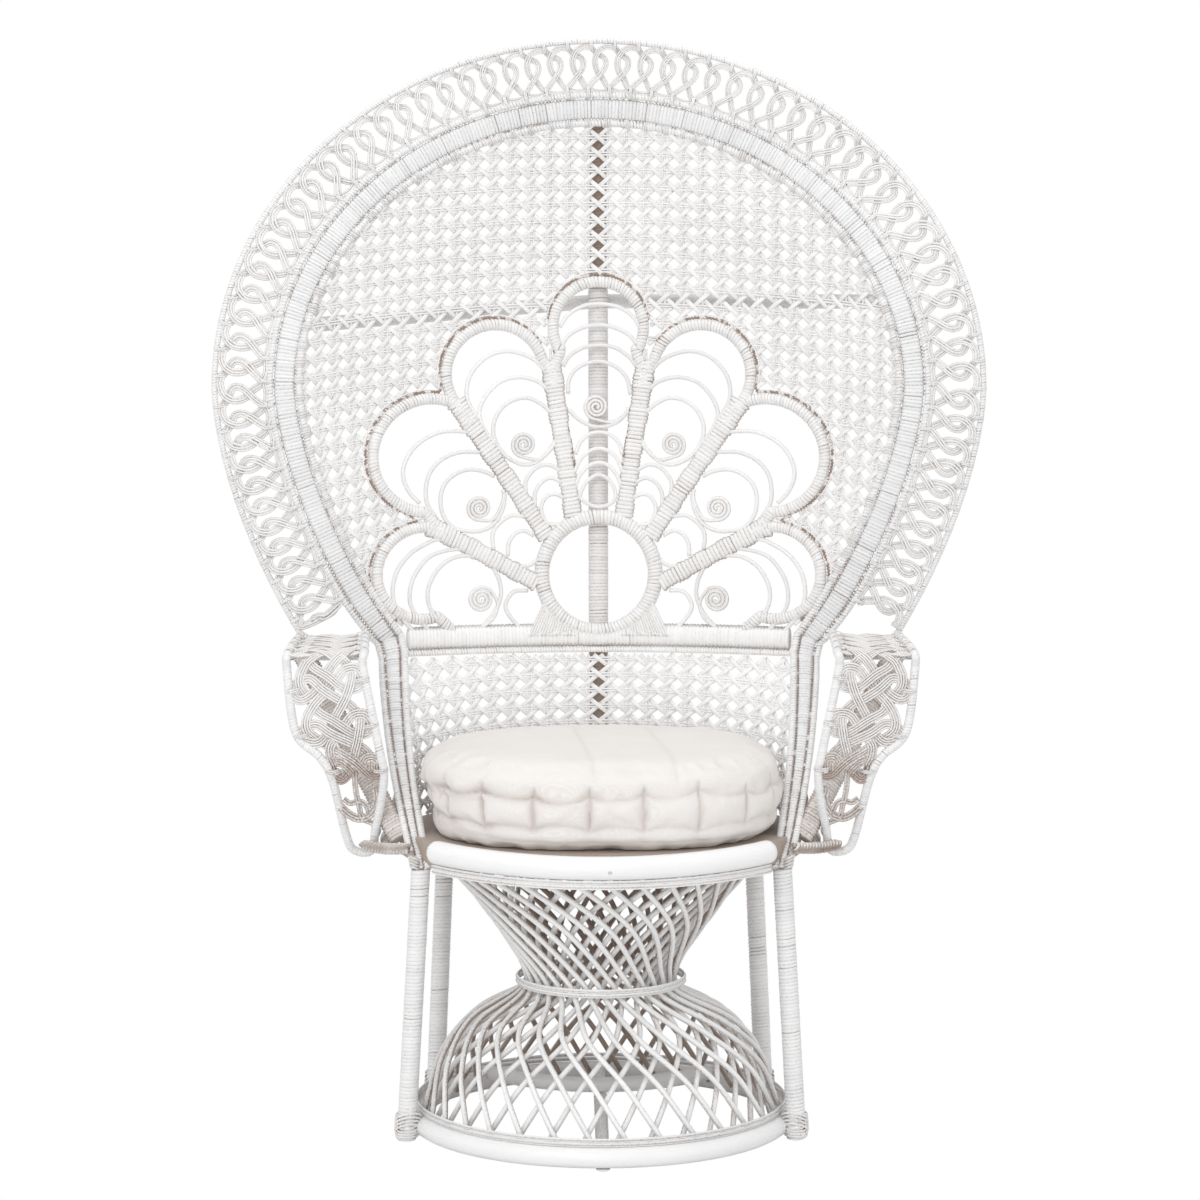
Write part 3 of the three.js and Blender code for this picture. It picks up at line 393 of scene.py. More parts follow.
# The back leans less below BEND, where the fan ends, and the barrel's foot is on the rail round the seat
BEND, BEND_DEPTH, RAIL, RAIL_DEPTH, LEAN, LOW_LEAN, BOW = 620, 300, 388, 285, 0.115, 0.065, 1232
RIM_WIDTH, RIM_CENTRE, RIM_TOP, RIM_LOW, RIM_END = 420, 1000, 374, 580, 640
RIM_ROUND, RIM_LOW_ROUND = 2, 1.55
BAND_SPAN, BORDER_SPAN = 40.3, 117
INNER_POLE, OUTER_POLE, BORDER_POLE = 11, 10, 9
POST_TOP_SPAN, POST_FOOT_SPAN, POST_FOOT, POST_BOW = 34, 18.5, vec(-231, -85, 366), 9
ARM_LEVEL = 650


def back_line(z):
    z = np.asarray(z, float)
    low = mix(RAIL_DEPTH, BEND_DEPTH, (z - RAIL) / (BEND - RAIL))
    return np.where(z > BEND, BEND_DEPTH + (z - BEND) * LEAN, low)


def on_back(x, z, behind=0.0):
    """A place on the back, which leans backwards and bows forward at its sides."""
    x, z = np.asarray(x, float), np.asarray(z, float)
    return np.stack([x, back_line(z) - x**2 / BOW + behind, z + 0 * x], -1)


def rim_outline():
    """The rim's inner pole, across and up: an ellipse above, and below it a fuller curve that runs in to the posts."""
    end = math.asin(((RIM_CENTRE - RIM_END) / RIM_LOW) ** (RIM_LOW_ROUND / 2))
    angle = np.linspace(math.pi + end, -end, 961)
    side, rise = np.cos(angle), np.sin(angle)
    reach = np.where(rise > 0, RIM_TOP, RIM_LOW)
    power = 2 / np.where(rise > 0, RIM_ROUND, RIM_LOW_ROUND)
    x = RIM_WIDTH * np.sign(side) * np.abs(side) ** power
    z = RIM_CENTRE + reach * np.sign(rise) * np.abs(rise) ** power
    return even(np.stack([x, z], 1), 2.0)


RIM = rim_outline()
RIM_SHARES = np.linspace(0, 1, len(RIM))


def rim_point(share):
    return np.stack([np.interp(np.clip(share, 0, 1), RIM_SHARES, RIM[:, i]) for i in (0, 1)])


def rim_place(share):
    """Place on the rim's inner pole, out from the rim, and the face towards the sitter."""
    share = np.clip(np.asarray(share, float), 0, 1)
    step = rim_point(share + 0.004) - rim_point(share - 0.004)
    along = unit(np.stack([step[0], 0 * step[0], step[1]], -1))
    out = unit(np.stack([-along[..., 2], np.full(share.shape, -0.1), along[..., 0]], -1))
    return on_back(*rim_point(share)), out, unit(np.cross(along, out))


def rim_at(share, span, front=0.0):
    place, out, face = rim_place(share)
    return place + out * np.asarray(span)[..., None] + face * np.asarray(front)[..., None]


def rim_start(span):
    """The share of the rim at which the line this far outside it reaches the arms' level."""
    shares = np.linspace(0, 0.5, 2001)
    return shares[np.argmax(rim_at(shares, span)[:, 2] >= ARM_LEVEL)]


BORDER_START = rim_start(BORDER_SPAN)


def whole_frame():
    """Places, out directions, faces and spans from the left post's foot, over the rim, to the right post's foot."""
    share = np.linspace(0, 0.94, 40)[:, None]
    post = mix(POST_FOOT, rim_place(0.0)[0], share)
    post[:, 0] -= POST_BOW * np.sin(math.pi * share[:, 0])
    post_out = np.tile([-1.0, 0, 0], (40, 1))
    arch = np.linspace(0.004, 0.996, 700)
    place, out, _ = rim_place(arch)
    arch_span = mix(POST_TOP_SPAN, BAND_SPAN, np.clip(np.minimum(arch, 1 - arch) / BORDER_START, 0, 1))
    places = np.vstack([post, place, (post * MIRROR)[::-1]])
    outs = np.vstack([post_out, out, (post_out * MIRROR)[::-1]])
    post_span = mix(POST_FOOT_SPAN, POST_TOP_SPAN, share[:, 0])
    spans = np.concatenate([post_span, arch_span, post_span[::-1]])
    for i in range(3):
        outs[8:-8, i] = np.convolve(outs[:, i], np.ones(15) / 15, "same")[8:-8]
    outs = unit(outs)
    faces = unit(np.cross(unit(np.gradient(places, axis=0)), outs))
    return places, outs, faces, spans


def make_rim():
    places, outs, faces, spans = whole_frame()
    pitch = 4.7
    for name, share, diameter in (("inner", 0, INNER_POLE), ("outer", 1, OUTER_POLE)):
        line, up = even(places + outs * (spans * share)[:, None], pitch / STEPS, faces, times=STEPS)
        make_pole(f"rim_{name}_wrap", POLE, f"rim_{name}_pole", Piece.wrapped, line, up, disc(diameter), pitch, 0.85)
    pitch = 5.0
    line, up, span = even(places + outs * (spans / 2)[:, None], pitch / STEPS, faces, spans, times=STEPS)
    section = ribbon(0.34, span - INNER_POLE + 0.4, 20)
    make_pole("rim_band_wrap", BAND, "rim_band", Piece.wrapped, line, up, section, pitch, 1.2, lean=0.0, worn=0.7)
    # Dark dashes of thin cane along the slits beside the band: stitches, darkened as painted shade.
    seams_and_shade = Piece()
    for edge in (INNER_POLE / 2 + 0.2, spans - OUTER_POLE / 2 - 0.2):
        line, up = even(places + outs * (edge + 0 * spans)[:, None] + faces * 3.6, 1.2, faces)
        for i in range(0, len(line) - 4, 4):
            share, diameter = (0.85, 2.2) if line[i, 2] < 760 else (0.45, 1.5)
            if chance.random() < share:
                seams_and_shade.sweep(line[i:i + 3], up[i:i + 3], disc(diameter, 6), 0.9, 0.95)
    seams_and_shade.made("rim_seams_and_shade", CANE, "painted_cane")
    share = np.linspace(BORDER_START + 0.001, 1 - BORDER_START - 0.001, 700)
    line, up = even(rim_at(share, BORDER_SPAN), 1.0, rim_place(share)[2], times=STEPS)
    make_pole("border_wrap", POLE, "border_pole", Piece.wrapped, line, up, disc(BORDER_POLE), 4.0, 0.5)


# Lace border: a bundle of three canes in C-shaped knots, all the way round.
# Points of one knot: knots travelled, from the border pole (0) to the rim (1), and to the front

KNOT = [
    (0.00, 0.08, 2.0), (0.22, 0.05, 2.5), (0.45, 0.06, 2.5), (0.70, 0.14, 2.5), (0.86, 0.28, 2.5), (0.88, 0.42, 1.5),
    (0.79, 0.57, -1.0), (0.58, 0.69, -2.5), (0.38, 0.85, -2.5), (0.20, 0.93, 0.0), (0.35, 0.98, 0.0), (0.70, 1.00, 0.0),
    (1.02, 0.97, 0.0), (1.17, 0.91, 1.0), (1.00, 0.80, 2.5), (0.78, 0.69, 2.5), (0.57, 0.58, 2.5), (0.42, 0.45, 1.0),
    (0.42, 0.34, -1.5), (0.52, 0.27, -2.5), (0.78, 0.20, -2.5), (0.95, 0.12, -1.0),
]
KNOTS = 68


def lace_share(way):
    """The share of the rim at a way along the lace, in knots."""
    return mix(1 - BORDER_START, BORDER_START, (way + 0.25) / KNOTS)


def wander(count, size):
    """Small random distances, one for each of count points, that change slowly."""
    return np.interp(np.arange(count), np.arange(0, count + 9, 9), chance.normal(0, size, count // 9 + 2))


def make_lace():
    steps = np.array([(k + u, v, d) for k in range(KNOTS) for u, v, d in KNOT])
    steps = steps[steps[:, 0] < KNOTS - 0.3]
    share = lace_share(steps[:, 0])
    span = mix(BORDER_SPAN - BORDER_POLE / 2, BAND_SPAN + OUTER_POLE / 2 - 1, steps[:, 1])
    # The share goes along as a fourth number, too small to change the path
    path = smooth(np.hstack([rim_at(share, span, steps[:, 2]), share[:, None] * 1e-6]), 3.6)
    path, share = path[:, :3], path[:, 3] * 1e6
    up = rim_place(share)[2]
    _, side, face = frame_of(path, up)
    stout = np.interp(np.abs(share - 0.5), (0.08, 0.22), (1.0, 1.3))
    piece = Piece()
    for lane in (-1, 0, 1):
        wobble, rise = wander(len(path), 0.35), wander(len(path), 0.3)
        strand = path + side * (lane * 2.85 * stout + wobble)[:, None] + face * rise[:, None]
        piece.sweep(strand, up, sized(disc(2.8, 8), stout), 0.1, edge=0.7)
    piece.made("lace_knots", CANE, "painted_cane", "border_lace")
    ties = Piece()
    at_border, at_rim = (0.02, BORDER_SPAN - 4.8, (8.7, 5.6), 0.4), (0.18, BAND_SPAN + 4.6, (9.4, 5.8), 0.3)
    for k in range(KNOTS):
        for u, span, reach, push in (at_border, at_rim):
            share = lace_share(k + u)
            if abs(share - 0.5) <= 0.5 - BORDER_START - 0.002:
                place, out, face = rim_place(share)
                centre = place + out * span + face * push
                ties.coil(centre, np.cross(out, face), out, reach, 2.0, 2.1, (2.2, 0.8), 0.25)
    ties.made("lace_ties", CANE, "painted_cane")


make_rim()
make_lace()


# Base

RING_RADIUS, RING_POLE, RING_CENTRE = 250, 27, 16.5
GLIDE, STRIP, STRIP_REACH, STRIP_PITCH = 3, 5.2, 2.8, 6


def round_line(radius, z):
    angle = np.radians(np.linspace(0, 360, 241))
    return np.stack([np.cos(angle) * radius, np.sin(angle) * radius, np.full(241, float(z))], 1)


def make_base():
    line = round_line(RING_RADIUS, RING_CENTRE)
    make_pole("base_ring", SMOOTH, "bottom_ring", Piece.sweep, line, UP, disc(RING_POLE, 24), -0.25, 0, True, 0)
    low = GLIDE + RING_POLE + STRIP_REACH + 0.4
    lines = {place: round_line(RING_RADIUS + 1, low + i * STRIP_PITCH) for i, place in enumerate(("lower", "upper"))}
    make_strips("base_hoop", "base_strip", lines, flat(STRIP, STRIP, 0.2, 3), True, 0.9)
    reach = RING_RADIUS - RING_POLE / 2 + 1
    line = even([vec(0, -reach, RING_CENTRE), vec(0, reach, RING_CENTRE)], 12)
    make_pole("floor_bar", SMOOTH, "floor_stretcher", Piece.sweep, line, UP, disc(18, 20), -0.1, 0.2, edge=0)
    share = np.linspace(0, 1, 60)
    line = np.stack([mix(-155, 155, share), 150 - 75 * (1 - (2 * share - 1) ** 2), np.full(60, 36.4)], 1)
    section = sized(disc(21, 20), np.clip(np.minimum(share, 1 - share) * 40, 0, 1) ** 0.5 * 0.12 + 0.88)
    make_pole("bowed_bar", SMOOTH, "cross_stretcher", Piece.sweep, line, UP, section, -0.1, edge=0)
    section = sized(disc(18, 20), [0.6, 0.8, 1, 1, 0.94])
    for place in ("front", "back_right", "back_left"):
        low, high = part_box(f"glide_{place}")
        middle = ((low + high) / 2 - Vector(origin)) * 1000
        line = vec(middle.x, middle.y, 0) + 2.6 * np.outer((0, 0.15, 0.5, 0.85, 1), UP)
        make_pole(f"foot_{place}", POLE, f"glide_{place}", Piece.sweep, line, vec(0, 1, 0), section, 0.3)


# Pedestal: leaning canes in two layers, tied at the waist

# How far down or up from the waist, and how far out from its radius to the ring's or the rail's
BELOW = [(1, 1), (0.6, 0.83), (0.3, 0.52), (0.08, 0.03)]
ABOVE = [(0.1, 0), (0.55, 0.42), (1, 1)]
WAIST, WAIST_RADIUS, FOOT_RADIUS, HEAD_RADIUS, HEAD = 203, 104, 241, 221, 371.8
FOOT_TWIST, HEAD_TWIST, CANES = 42, -56, 32


def make_pedestal():
    for layer, ridge, insets, low in (("outer", 1, (0, 0), 30.0), ("inner", -1, (13.5, 8.8), 18.0)):
        levels = []
        for down, out in BELOW:
            radius = mix(WAIST_RADIUS, FOOT_RADIUS, out) - mix(insets[0], insets[1], down)
            twist = 0.35 * FOOT_TWIST * down + 27.3 * math.sin(down * math.pi / 2)
            levels.append((mix(WAIST, low, down), radius, twist, 0))
        for up, out in ABOVE:
            radius = mix(WAIST_RADIUS, HEAD_RADIUS, out) - insets[0]
            levels.append((mix(WAIST, HEAD, up), radius, HEAD_TWIST * up, 12 * up * up))
        z, radius, twist, shift = np.array(levels, float).T
        piece = Piece()
        for i in range(CANES):
            angle = i / CANES * TURN + ridge * np.radians(twist)
            line = smooth(np.stack([np.cos(angle) * radius, np.sin(angle) * radius + shift, z], 1), 9)
            line[:, :2] += chance.normal(0, 0.8, 2)
            section = disc(7.5, 8)
            # The side that looks inwards is coloured brown, and on the inner layer more so towards the back.
            bare = np.clip(-section[1][:, 1] * 1.4 + 0.25, 0, 1)
            if ridge < 0:
                bare = bare * 0.6 + 0.15 + 0.3 * np.clip(line[:, 1:2] / 120 + 0.2, 0, 1)
            piece.sweep(line, unit(line * [1, 1, 0]), section, 0.15, np.clip(bare, 0, 0.95))
        piece.made(f"pedestal_{layer}", PALE, "painted_cane", f"pedestal_canes_{layer}")
    lines = {place: round_line(113.5, WAIST + shift) for place, shift in (("upper", 3.1), ("lower", -3.1))}
    make_strips("waist_hoop", "waist_strip", lines, flat(5.4, 5.4, 0.2, 3), True, 0.8)


# Seat

SEAT_WIDTH, SEAT_DEPTH, SEAT_BACK, RAIL_REACH = 290, 250, 40, 15.2


def seat_line(first, last, z, grow=0.0, count=200):
    """Part of the seat's oval between two angles, larger all round by grow."""
    angle = np.linspace(first, last, count + 1)
    x, y = np.cos(angle) * (SEAT_WIDTH + grow), SEAT_BACK + np.sin(angle) * (SEAT_DEPTH + grow)
    return np.stack([x, y, np.full(count + 1, float(z))], 1)


RAIL_END = math.acos(217 / SEAT_WIDTH)
BACK_ANGLE = math.asin(60 / SEAT_DEPTH)


def make_post_lashing():
    ends = Piece()
    for side in (-1, 1):
        for step in range(4):
            centre = vec(-249 * side, -86, 369.5 + step * 4)
            ends.coil(centre, (0.5 * side, 0, 1), (side, 0, -0.5), (6.6, 6.2), 1.0, 0.3, (3.4, 1.1), 0.5)
    ends.made("post_lashing", CANE, "painted_cane")


def make_seat():
    rise = 7  # of the front rail and its strips, from their middle to their ends
    line = seat_line(RAIL_END - math.pi, -RAIL_END, RAIL)
    line[:, 2] += rise * (line[:, 0] / 213) ** 2
    reach = vec(0.36, 0.33, 0.26, 0.14)[:, None] * 32
    first = line[0] - unit(line[1] - line[0]) * reach
    last = line[-1] + unit(line[-1] - line[-2]) * reach[::-1]
    ends = np.array([0.2, 0.5, 0.78, 0.95])
    section = sized(disc(31.4, 28), np.concatenate([ends, np.ones(len(line)), ends[::-1]]))
    line = np.vstack([first, line, last])
    make_pole("front_rail", SMOOTH, "seat_front_rail", Piece.sweep, line, UP, section, -0.25, edge=0)
    line = seat_line(-0.13, math.pi + 0.13, RAIL)
    # The back rail, in the shade behind the seat, is browner and darker: painted shade.
    make_pole("back_rail", BROWN, "seat_back_rail", Piece.sweep, line, UP, disc(22, 18), 0.3, 0.35)
    high = RAIL - RAIL_REACH - STRIP_REACH
    lines = {"upper": seat_line(RAIL_END - math.pi, -RAIL_END, high, 8)}
    lines["upper"][:, 2] += rise * (lines["upper"][:, 0] / 219) ** 2
    lines["lower"] = lines["upper"] - STRIP_PITCH * UP
    make_strips("seat_lath", "seat_strip", lines, flat(STRIP, 5.4, 0.2, 3), False, 0.9)
    angle = 0.03 - math.pi / 2
    line = seat_line(angle, angle, RAIL - 3, 15.4, 1)[0] + np.outer((0, 0.5, 0.9, 1.1), FRONT)
    make_pole("rail_nail", POLE, None, Piece.sweep, line, UP, sized(disc(5.2, 12), [1, 0.95, 0.7, 0.3]), 0.5)
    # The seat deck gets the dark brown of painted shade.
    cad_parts["seat_deck"].data.materials.clear()
    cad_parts["seat_deck"].data.materials.append(SEAT_SHADE)


# Legs, wrapped, with crossed lashings at the floor


def make_legs():
    pitch = 4.9
    ends = {"front": [(-262, -84, 0), (-241, -85, 365.5)], "back": [(-232, 158, 0), (-217, 206, 377.4)]}
    for name, leg in ends.items():
        for hand, turn in HANDS:
            line = np.array(leg, float) * turn
            pole, section = even(line, pitch / STEPS, times=STEPS), disc(26.6, 14)
            wrap, node = f"{name}_leg_wrap_{hand}", f"{name}_leg_{hand}"
            make_pole(wrap, POLE, node, Piece.wrapped, pole, FRONT, section, pitch, 0.95, worn=0.6)
            along = unit(line[1] - line[0])
            inward = unit(-line[0] * [1, 1, 0])
            lash = Piece()
            for lean in (-1, 1):
                for step in range(4):
                    axis = unit(along + np.cross(inward, along) * 0.75 * lean)
                    centre = mix(line[0], line[1], (14 + step * 5) / 372) + inward * 1.5
                    lash.coil(centre, axis, inward, (18.3, 16.0), 1.0, 0.3, (3.8, 1.3), 0.35)
            for step in range(3):
                centre = mix(line[0], line[1], (6 + step * 3.6) / 372)
                lash.coil(centre, along, inward, (14.8, 14.8), 1.0, 0.2, (3.6, 1.2), 0.3)
            lash.made(f"{name}_leg_lashing_{hand}", CANE, "painted_cane", f"{name}_binding_{hand}")


make_base()
make_pedestal()
make_seat()
make_post_lashing()
make_legs()


# Fan: drawn in units of FAN mm, across and up from the hub's centre

FAN, HUB_HEIGHT, HUB_RADIUS, FAN_FOOT = 1.447, 728, 79, 640


def on_fan(points, front=0.0):
    points = np.asarray(points, float)
    return on_back(points[:, 0] * FAN, HUB_HEIGHT + points[:, 1] * FAN, -np.asarray(front, float))


def back_normal(line):
    """Towards the sitter, square to the back surface."""
    x = line[:, 0]
    lean = np.where(line[:, 2] > BEND, LEAN, LOW_LEAN)
    return unit(np.stack([-2 * x / BOW, -np.ones(len(x)), lean], 1))


# The left half: a rib's ends, a petal's round end and a scroll's coil as centre and radius, arcs and scroll stems
RIBS = [((-25, 56), (-47, 207)), ((-51, 36), (-139, 168)), ((-61, -9), (-165, 49)), ((-100, -56), (-150, -50))]
BULBS = [((0, 244), 45), ((-102, 198), 48.5), ((-165, 118), 56), ((-172, 3.5), 45)]
COILS = [((-2, 165), 11.2), ((-74, 128), 11.2), ((-118, 66), 11.0), ((-116, -24), 11.8)]
ARCS = [
    [
        [(-38, 244), (-30, 256), (-15, 265), (2, 267), (20, 264), (34, 255), (42, 243)],
        [(-37, 225), (-29, 236), (-14, 244), (2, 246), (18, 243), (32, 235), (40, 224)],
        [(-35, 205), (-28, 216), (-14, 224), (1, 226), (16, 224), (30, 215), (38, 205)],
        [(-30, 178), (-29, 192), (-20, 204), (-2, 210), (15, 206), (28, 194), (32, 177)],
        [(-30, 163), (-20, 153), (-6, 146), (8, 146), (20, 151), (30, 161)],
        [(-23, 118), (-18, 130), (-9, 138), (1, 140), (11, 138), (20, 130), (24, 118)],
        [(-24, 100), (-18, 113), (-9, 121), (1, 124), (11, 121), (19, 113), (24, 100)],
        [(-24, 84), (-18, 98), (-9, 107), (1, 110), (10, 107), (18, 98), (24, 84)],
        [(-20, 74), (-14, 88), (-7, 95), (0, 98), (8, 95), (14, 88), (17, 78), (13, 70), (0, 66), (-12, 70),
         (-19, 76)],
    ],
    [
        [(-50, 198), (-64, 212), (-83, 219.5), (-98, 219.5), (-113, 213), (-125, 200), (-130, 186), (-129, 171),
         (-118, 152)],
        [(-47, 179), (-58, 189), (-72, 194), (-85, 194), (-99, 189), (-111, 177), (-118, 161), (-114, 145),
         (-102, 128)],
        [(-44, 157), (-57, 168), (-70, 174), (-84, 172), (-96, 164), (-103, 152), (-104, 138), (-98, 124), (-88, 114),
         (-73, 108), (-59, 112), (-48, 124), (-40, 136)],
        [(-36, 101), (-50, 108), (-63, 104), (-72, 92), (-72, 80)],
        [(-36, 90), (-47, 95), (-57, 90), (-63, 80), (-63, 67)],
        [(-34, 75), (-44, 79), (-53, 75), (-57, 64), (-52, 51), (-44, 49), (-37, 48)],
    ],
    [
        [(-128, 141), (-150, 142), (-167, 137), (-181, 127), (-190, 113), (-192, 98), (-186, 83), (-176, 72)],
        [(-117, 121), (-138, 121), (-155, 114), (-166, 102), (-170, 87), (-169, 72), (-161, 58)],
        [(-103, 97), (-114, 102), (-128, 104), (-141, 100), (-152, 90), (-156, 75), (-153, 59), (-143, 47),
         (-129, 43.5), (-117, 43.5), (-105, 49), (-96, 62), (-93, 76), (-95, 84)],
        [(-73, 57), (-87, 58), (-99, 50), (-105, 40), (-104, 25)],
        [(-64, 38), (-74, 43), (-83, 40), (-89, 31), (-90, 18)],
        [(-78, 8), (-68, 9), (-61, 14)],
    ],
    [
        [(-142, 37), (-160, 36), (-170, 32), (-185, 23), (-197, 8), (-202, -10), (-200, -26), (-192, -41), (-181, -54)],
        [(-128, 27), (-150, 25), (-167, 19), (-179, 5), (-185, -10), (-185, -26), (-177, -41), (-162, -58)],
        [(-118, 19), (-138, 19), (-152, 13), (-162, 2), (-168, -13), (-167, -28), (-158, -43), (-141, -56)],
        [(-104, 7), (-98, -7), (-97, -22), (-104, -38), (-116, -52)],
        [(-70, -16), (-84, -17), (-92, -28), (-90, -38), (-78, -53)],
    ],
]
SCROLL_STEMS = [
    [(30, 165), (27, 158), (14, 150)], [(-40, 134), (-48, 122), (-60, 113)], [(-94, 84), (-95, 72), (-104, 55)],
    [(-116, -52), (-104, -42), (-100, -28)],
]


def on_circle(centre, radius, angle):
    return np.stack([centre[0] + np.cos(angle) * radius, centre[1] + np.sin(angle) * radius], 1)


def bulb_line(k):
    """A petal's outline from one rib, round its end, to the next rib."""
    centre, radius = BULBS[k]
    ribs = np.array(RIBS, float)
    before, after = ribs[0] * [-1, 1] if k == 0 else ribs[k - 1], ribs[k]
    start, end = (math.atan2(rib[1, 1] - centre[1], rib[1, 0] - centre[0]) for rib in (before, after))
    end = end + TURN if end < start else end
    begin = [mix(before[1], before[0], s) for s in (0.14, 0.06)]
    close = [mix(after[1], after[0], s) for s in (0.06, 0.14)]
    return np.vstack([begin, on_circle(centre, radius, np.linspace(start + 0.1, end - 0.1, 40)), close])


def scroll(k):
    """A flat spiral of about three turns at the end of its stem."""
    centre, radius = COILS[k]
    stem = np.array(SCROLL_STEMS[k], float)
    begin = math.atan2(stem[-1][1] - centre[1], stem[-1][0] - centre[0])
    share = np.linspace(0, 1, 60)
    angle = begin + (1 if k == 3 else -1) * share * 3.1 * TURN
    return np.vstack([stem, on_circle(centre, mix(radius + 1.5, 1.6, share**0.94), angle)[3:]])


def make_petals():
    for k, name in enumerate(("middle", "1", "2", "3")):
        for hand, turn in HANDS if k else (("", 1),):
            piece = Piece()
            line = even(smooth(on_fan(bulb_line(k)) * turn, 1.0), 1.2, times=STEPS)
            piece.wrapped(line, back_normal(line), disc(17, 12), 4.8, 0.75)
            for points in ARCS[k]:
                arc = smooth(on_fan(points, 1.5) * turn, 5)
                piece.sweep(arc, back_normal(arc), disc(6, 8), 0.08)
            coil = smooth(on_fan(scroll(k), 2.5) * turn, 2.5)
            piece.sweep(coil, back_normal(coil), disc(4.9, 8), 0.15, edge=0.6)
            kind = f"{name}_{hand}" if k else name
            piece.made(f"petal_{kind}_canes", CANE, "painted_cane", f"fan_petal_{kind}")


def make_ribs():
    ribs = Piece()
    for _, turn in HANDS:
        for k, (low, high) in enumerate(RIBS[:3]):
            run = [mix(vec(*low), vec(*high), s) for s in np.linspace(0, 1.02, 12)]
            line = even(on_fan(run) * turn, 1.42, times=STEPS)
            share = np.linspace(0, 1, len(line))
            width = 25 + 6 * share**3 + 3 * (np.sin(share * 31 + k) > 0.1)
            ribs.wrapped(line, back_normal(line), ribbon(0.55, width, 24), 5.7, 1.1, lean=0.06)
    ribs.made("fan_ribs", CANE, "painted_cane")


FOOT_CANES = 17


def make_hub():
    """The hub, with the canes that spread from its foot to the rail."""
    hub = Piece()
    angle = np.linspace(math.radians(-90), math.radians(270), 240)
    x, z = on_circle((0, HUB_HEIGHT), HUB_RADIUS + 2.5, angle).T
    line = even(on_back(x, z), 1.3, times=STEPS)
    hub.wrapped(line, back_normal(line), disc(22.4, 12), 5.2, 0.9)
    share = np.linspace(0, 1, 8)
    for side in (-1, 1):
        for i in range(FOOT_CANES):
            angle = math.radians(-66 + i * 2.6)
            high = vec(0, HUB_HEIGHT) + (HUB_RADIUS + 2) * vec(math.cos(angle) * side, math.sin(angle))
            x, z = mix(vec((34 + i * 4.1) * side, FAN_FOOT), high, share[:, None]).T
            strand = even(on_back(x, z, 2.4 * share**2 - 8.2), 4)
            hub.sweep(strand, FRONT, flat(4.3, 2.0, 0.5, 5), 0.25)
    hub.made("hub_wrap", CANE, "painted_cane", "fan_hub")


def make_fan_rail():
    line = even(on_back(np.linspace(-271, 271, 200), FAN_FOOT + 1.0), 1.33, times=STEPS)
    data = line, back_normal(line), flat(34, 15, 1.5, 7), 5.3, 1.0
    make_pole("base_rail_wrap", PALE, "fan_base_rail", Piece.wrapped, *data, lean=0.03, worn=0.35)
    line = even(on_back(np.linspace(-279, 279, 200), 620.1), 1.0, times=STEPS)
    make_pole("barrel_pole_wrap", PALE, "barrel_top_pole", Piece.wrapped, line, back_normal(line), disc(9), 4.0, 0.4)


def fan_edge(angle):
    """How far the fan's outline is from the hub's centre along a ray, in mm."""
    rx, rup = np.cos(angle), np.sin(angle)
    best = np.zeros(np.shape(angle))
    for (cx, cup), radius in BULBS:
        for hand in (-1, 1):
            along = (rx * cx * hand + rup * cup) * FAN
            off = (rx * cup - rup * cx * hand) * FAN
            edge = radius * FAN + 8
            hit = (along > 0) & (np.abs(off) < edge)
            best = np.maximum(best, np.where(hit, along + np.sqrt(np.maximum(edge**2 - off**2, 0)), 0))
    return best


def edge_line(extra):
    """A line this far outside the fan's outline."""
    angle = np.radians(np.linspace(-12, 192, 900))
    reach = np.convolve(np.pad(fan_edge(angle) + extra, 4, "edge"), np.ones(9) / 9, "valid")
    return even(on_back(np.cos(angle) * reach, HUB_HEIGHT + np.sin(angle) * reach, -1.0), 2.4)


def make_stitches():
    """A thin light cane and a stitched line between the fan and the weave round it, whose dark brown is partly painted
    shade in the gap.
    """
    cane = Piece()
    line = edge_line(6.5)
    cane.sweep(line, back_normal(line), disc(2.4, 6), 0.1)
    cane.made("fan_edge_cane", CANE, "painted_cane")
    stitch_and_shade = Piece()
    line = even(edge_line(2.6), 1.1, times=STEPS)
    # Most dashes of the stitched line are dark brown: painted shade in the gap beside the fan.
    dark_share = np.repeat(chance.random(len(line) // STEPS + 1) > 0.3, STEPS)[: len(line), None] * 0.95
    stitch_and_shade.wrapped(line, back_normal(line), disc(4.6, 6), 4.4, 1.0, bare=dark_share)
    stitch_and_shade.made("fan_edge_stitch_and_shade", BROWN, "painted_cane")


# Woven panels: cane in six directions, with single uprights, double rows and crossing diagonals


def run_parts(inside):
    """First and last index of each stretch of true values."""
    edges = np.flatnonzero(np.diff(np.concatenate([[0], inside.astype(int), [0]])))
    return [(a, b) for a, b in zip(edges[::2], edges[1::2], strict=True) if b - a > 4]


def six_way(columns, rows):
    """The strands of the pattern in cells: across, up, how far to the front, and width."""
    step = 0.125
    (left, right), (low, high) = columns, rows
    up = np.arange(low, high + step, step)
    across = np.arange(left, right + step, step)
    strands = []
    for i in range(left, right + 1):
        strands.append((np.full(len(up), float(i)), up, -0.45 - 0.45 * np.cos(TURN * up), 3.9))
    for j in range(low, high + 1):
        for lane in (-0.075, 0.075):
            strands.append((across, np.full(len(across), j + lane), 0.45 + 0.45 * np.cos(TURN * across), 2.9))
    for i in range(left + low - 1, right + high + 1):
        strands.append((i + 0.5 - up, up, 1.5 * np.cos(TURN * up), 6.3))
    for i in range(left - high - 1, right - low + 1):
        strands.append((i + 0.5 + up, up, -1.5 * np.cos(TURN * up), 6.3))
    return strands


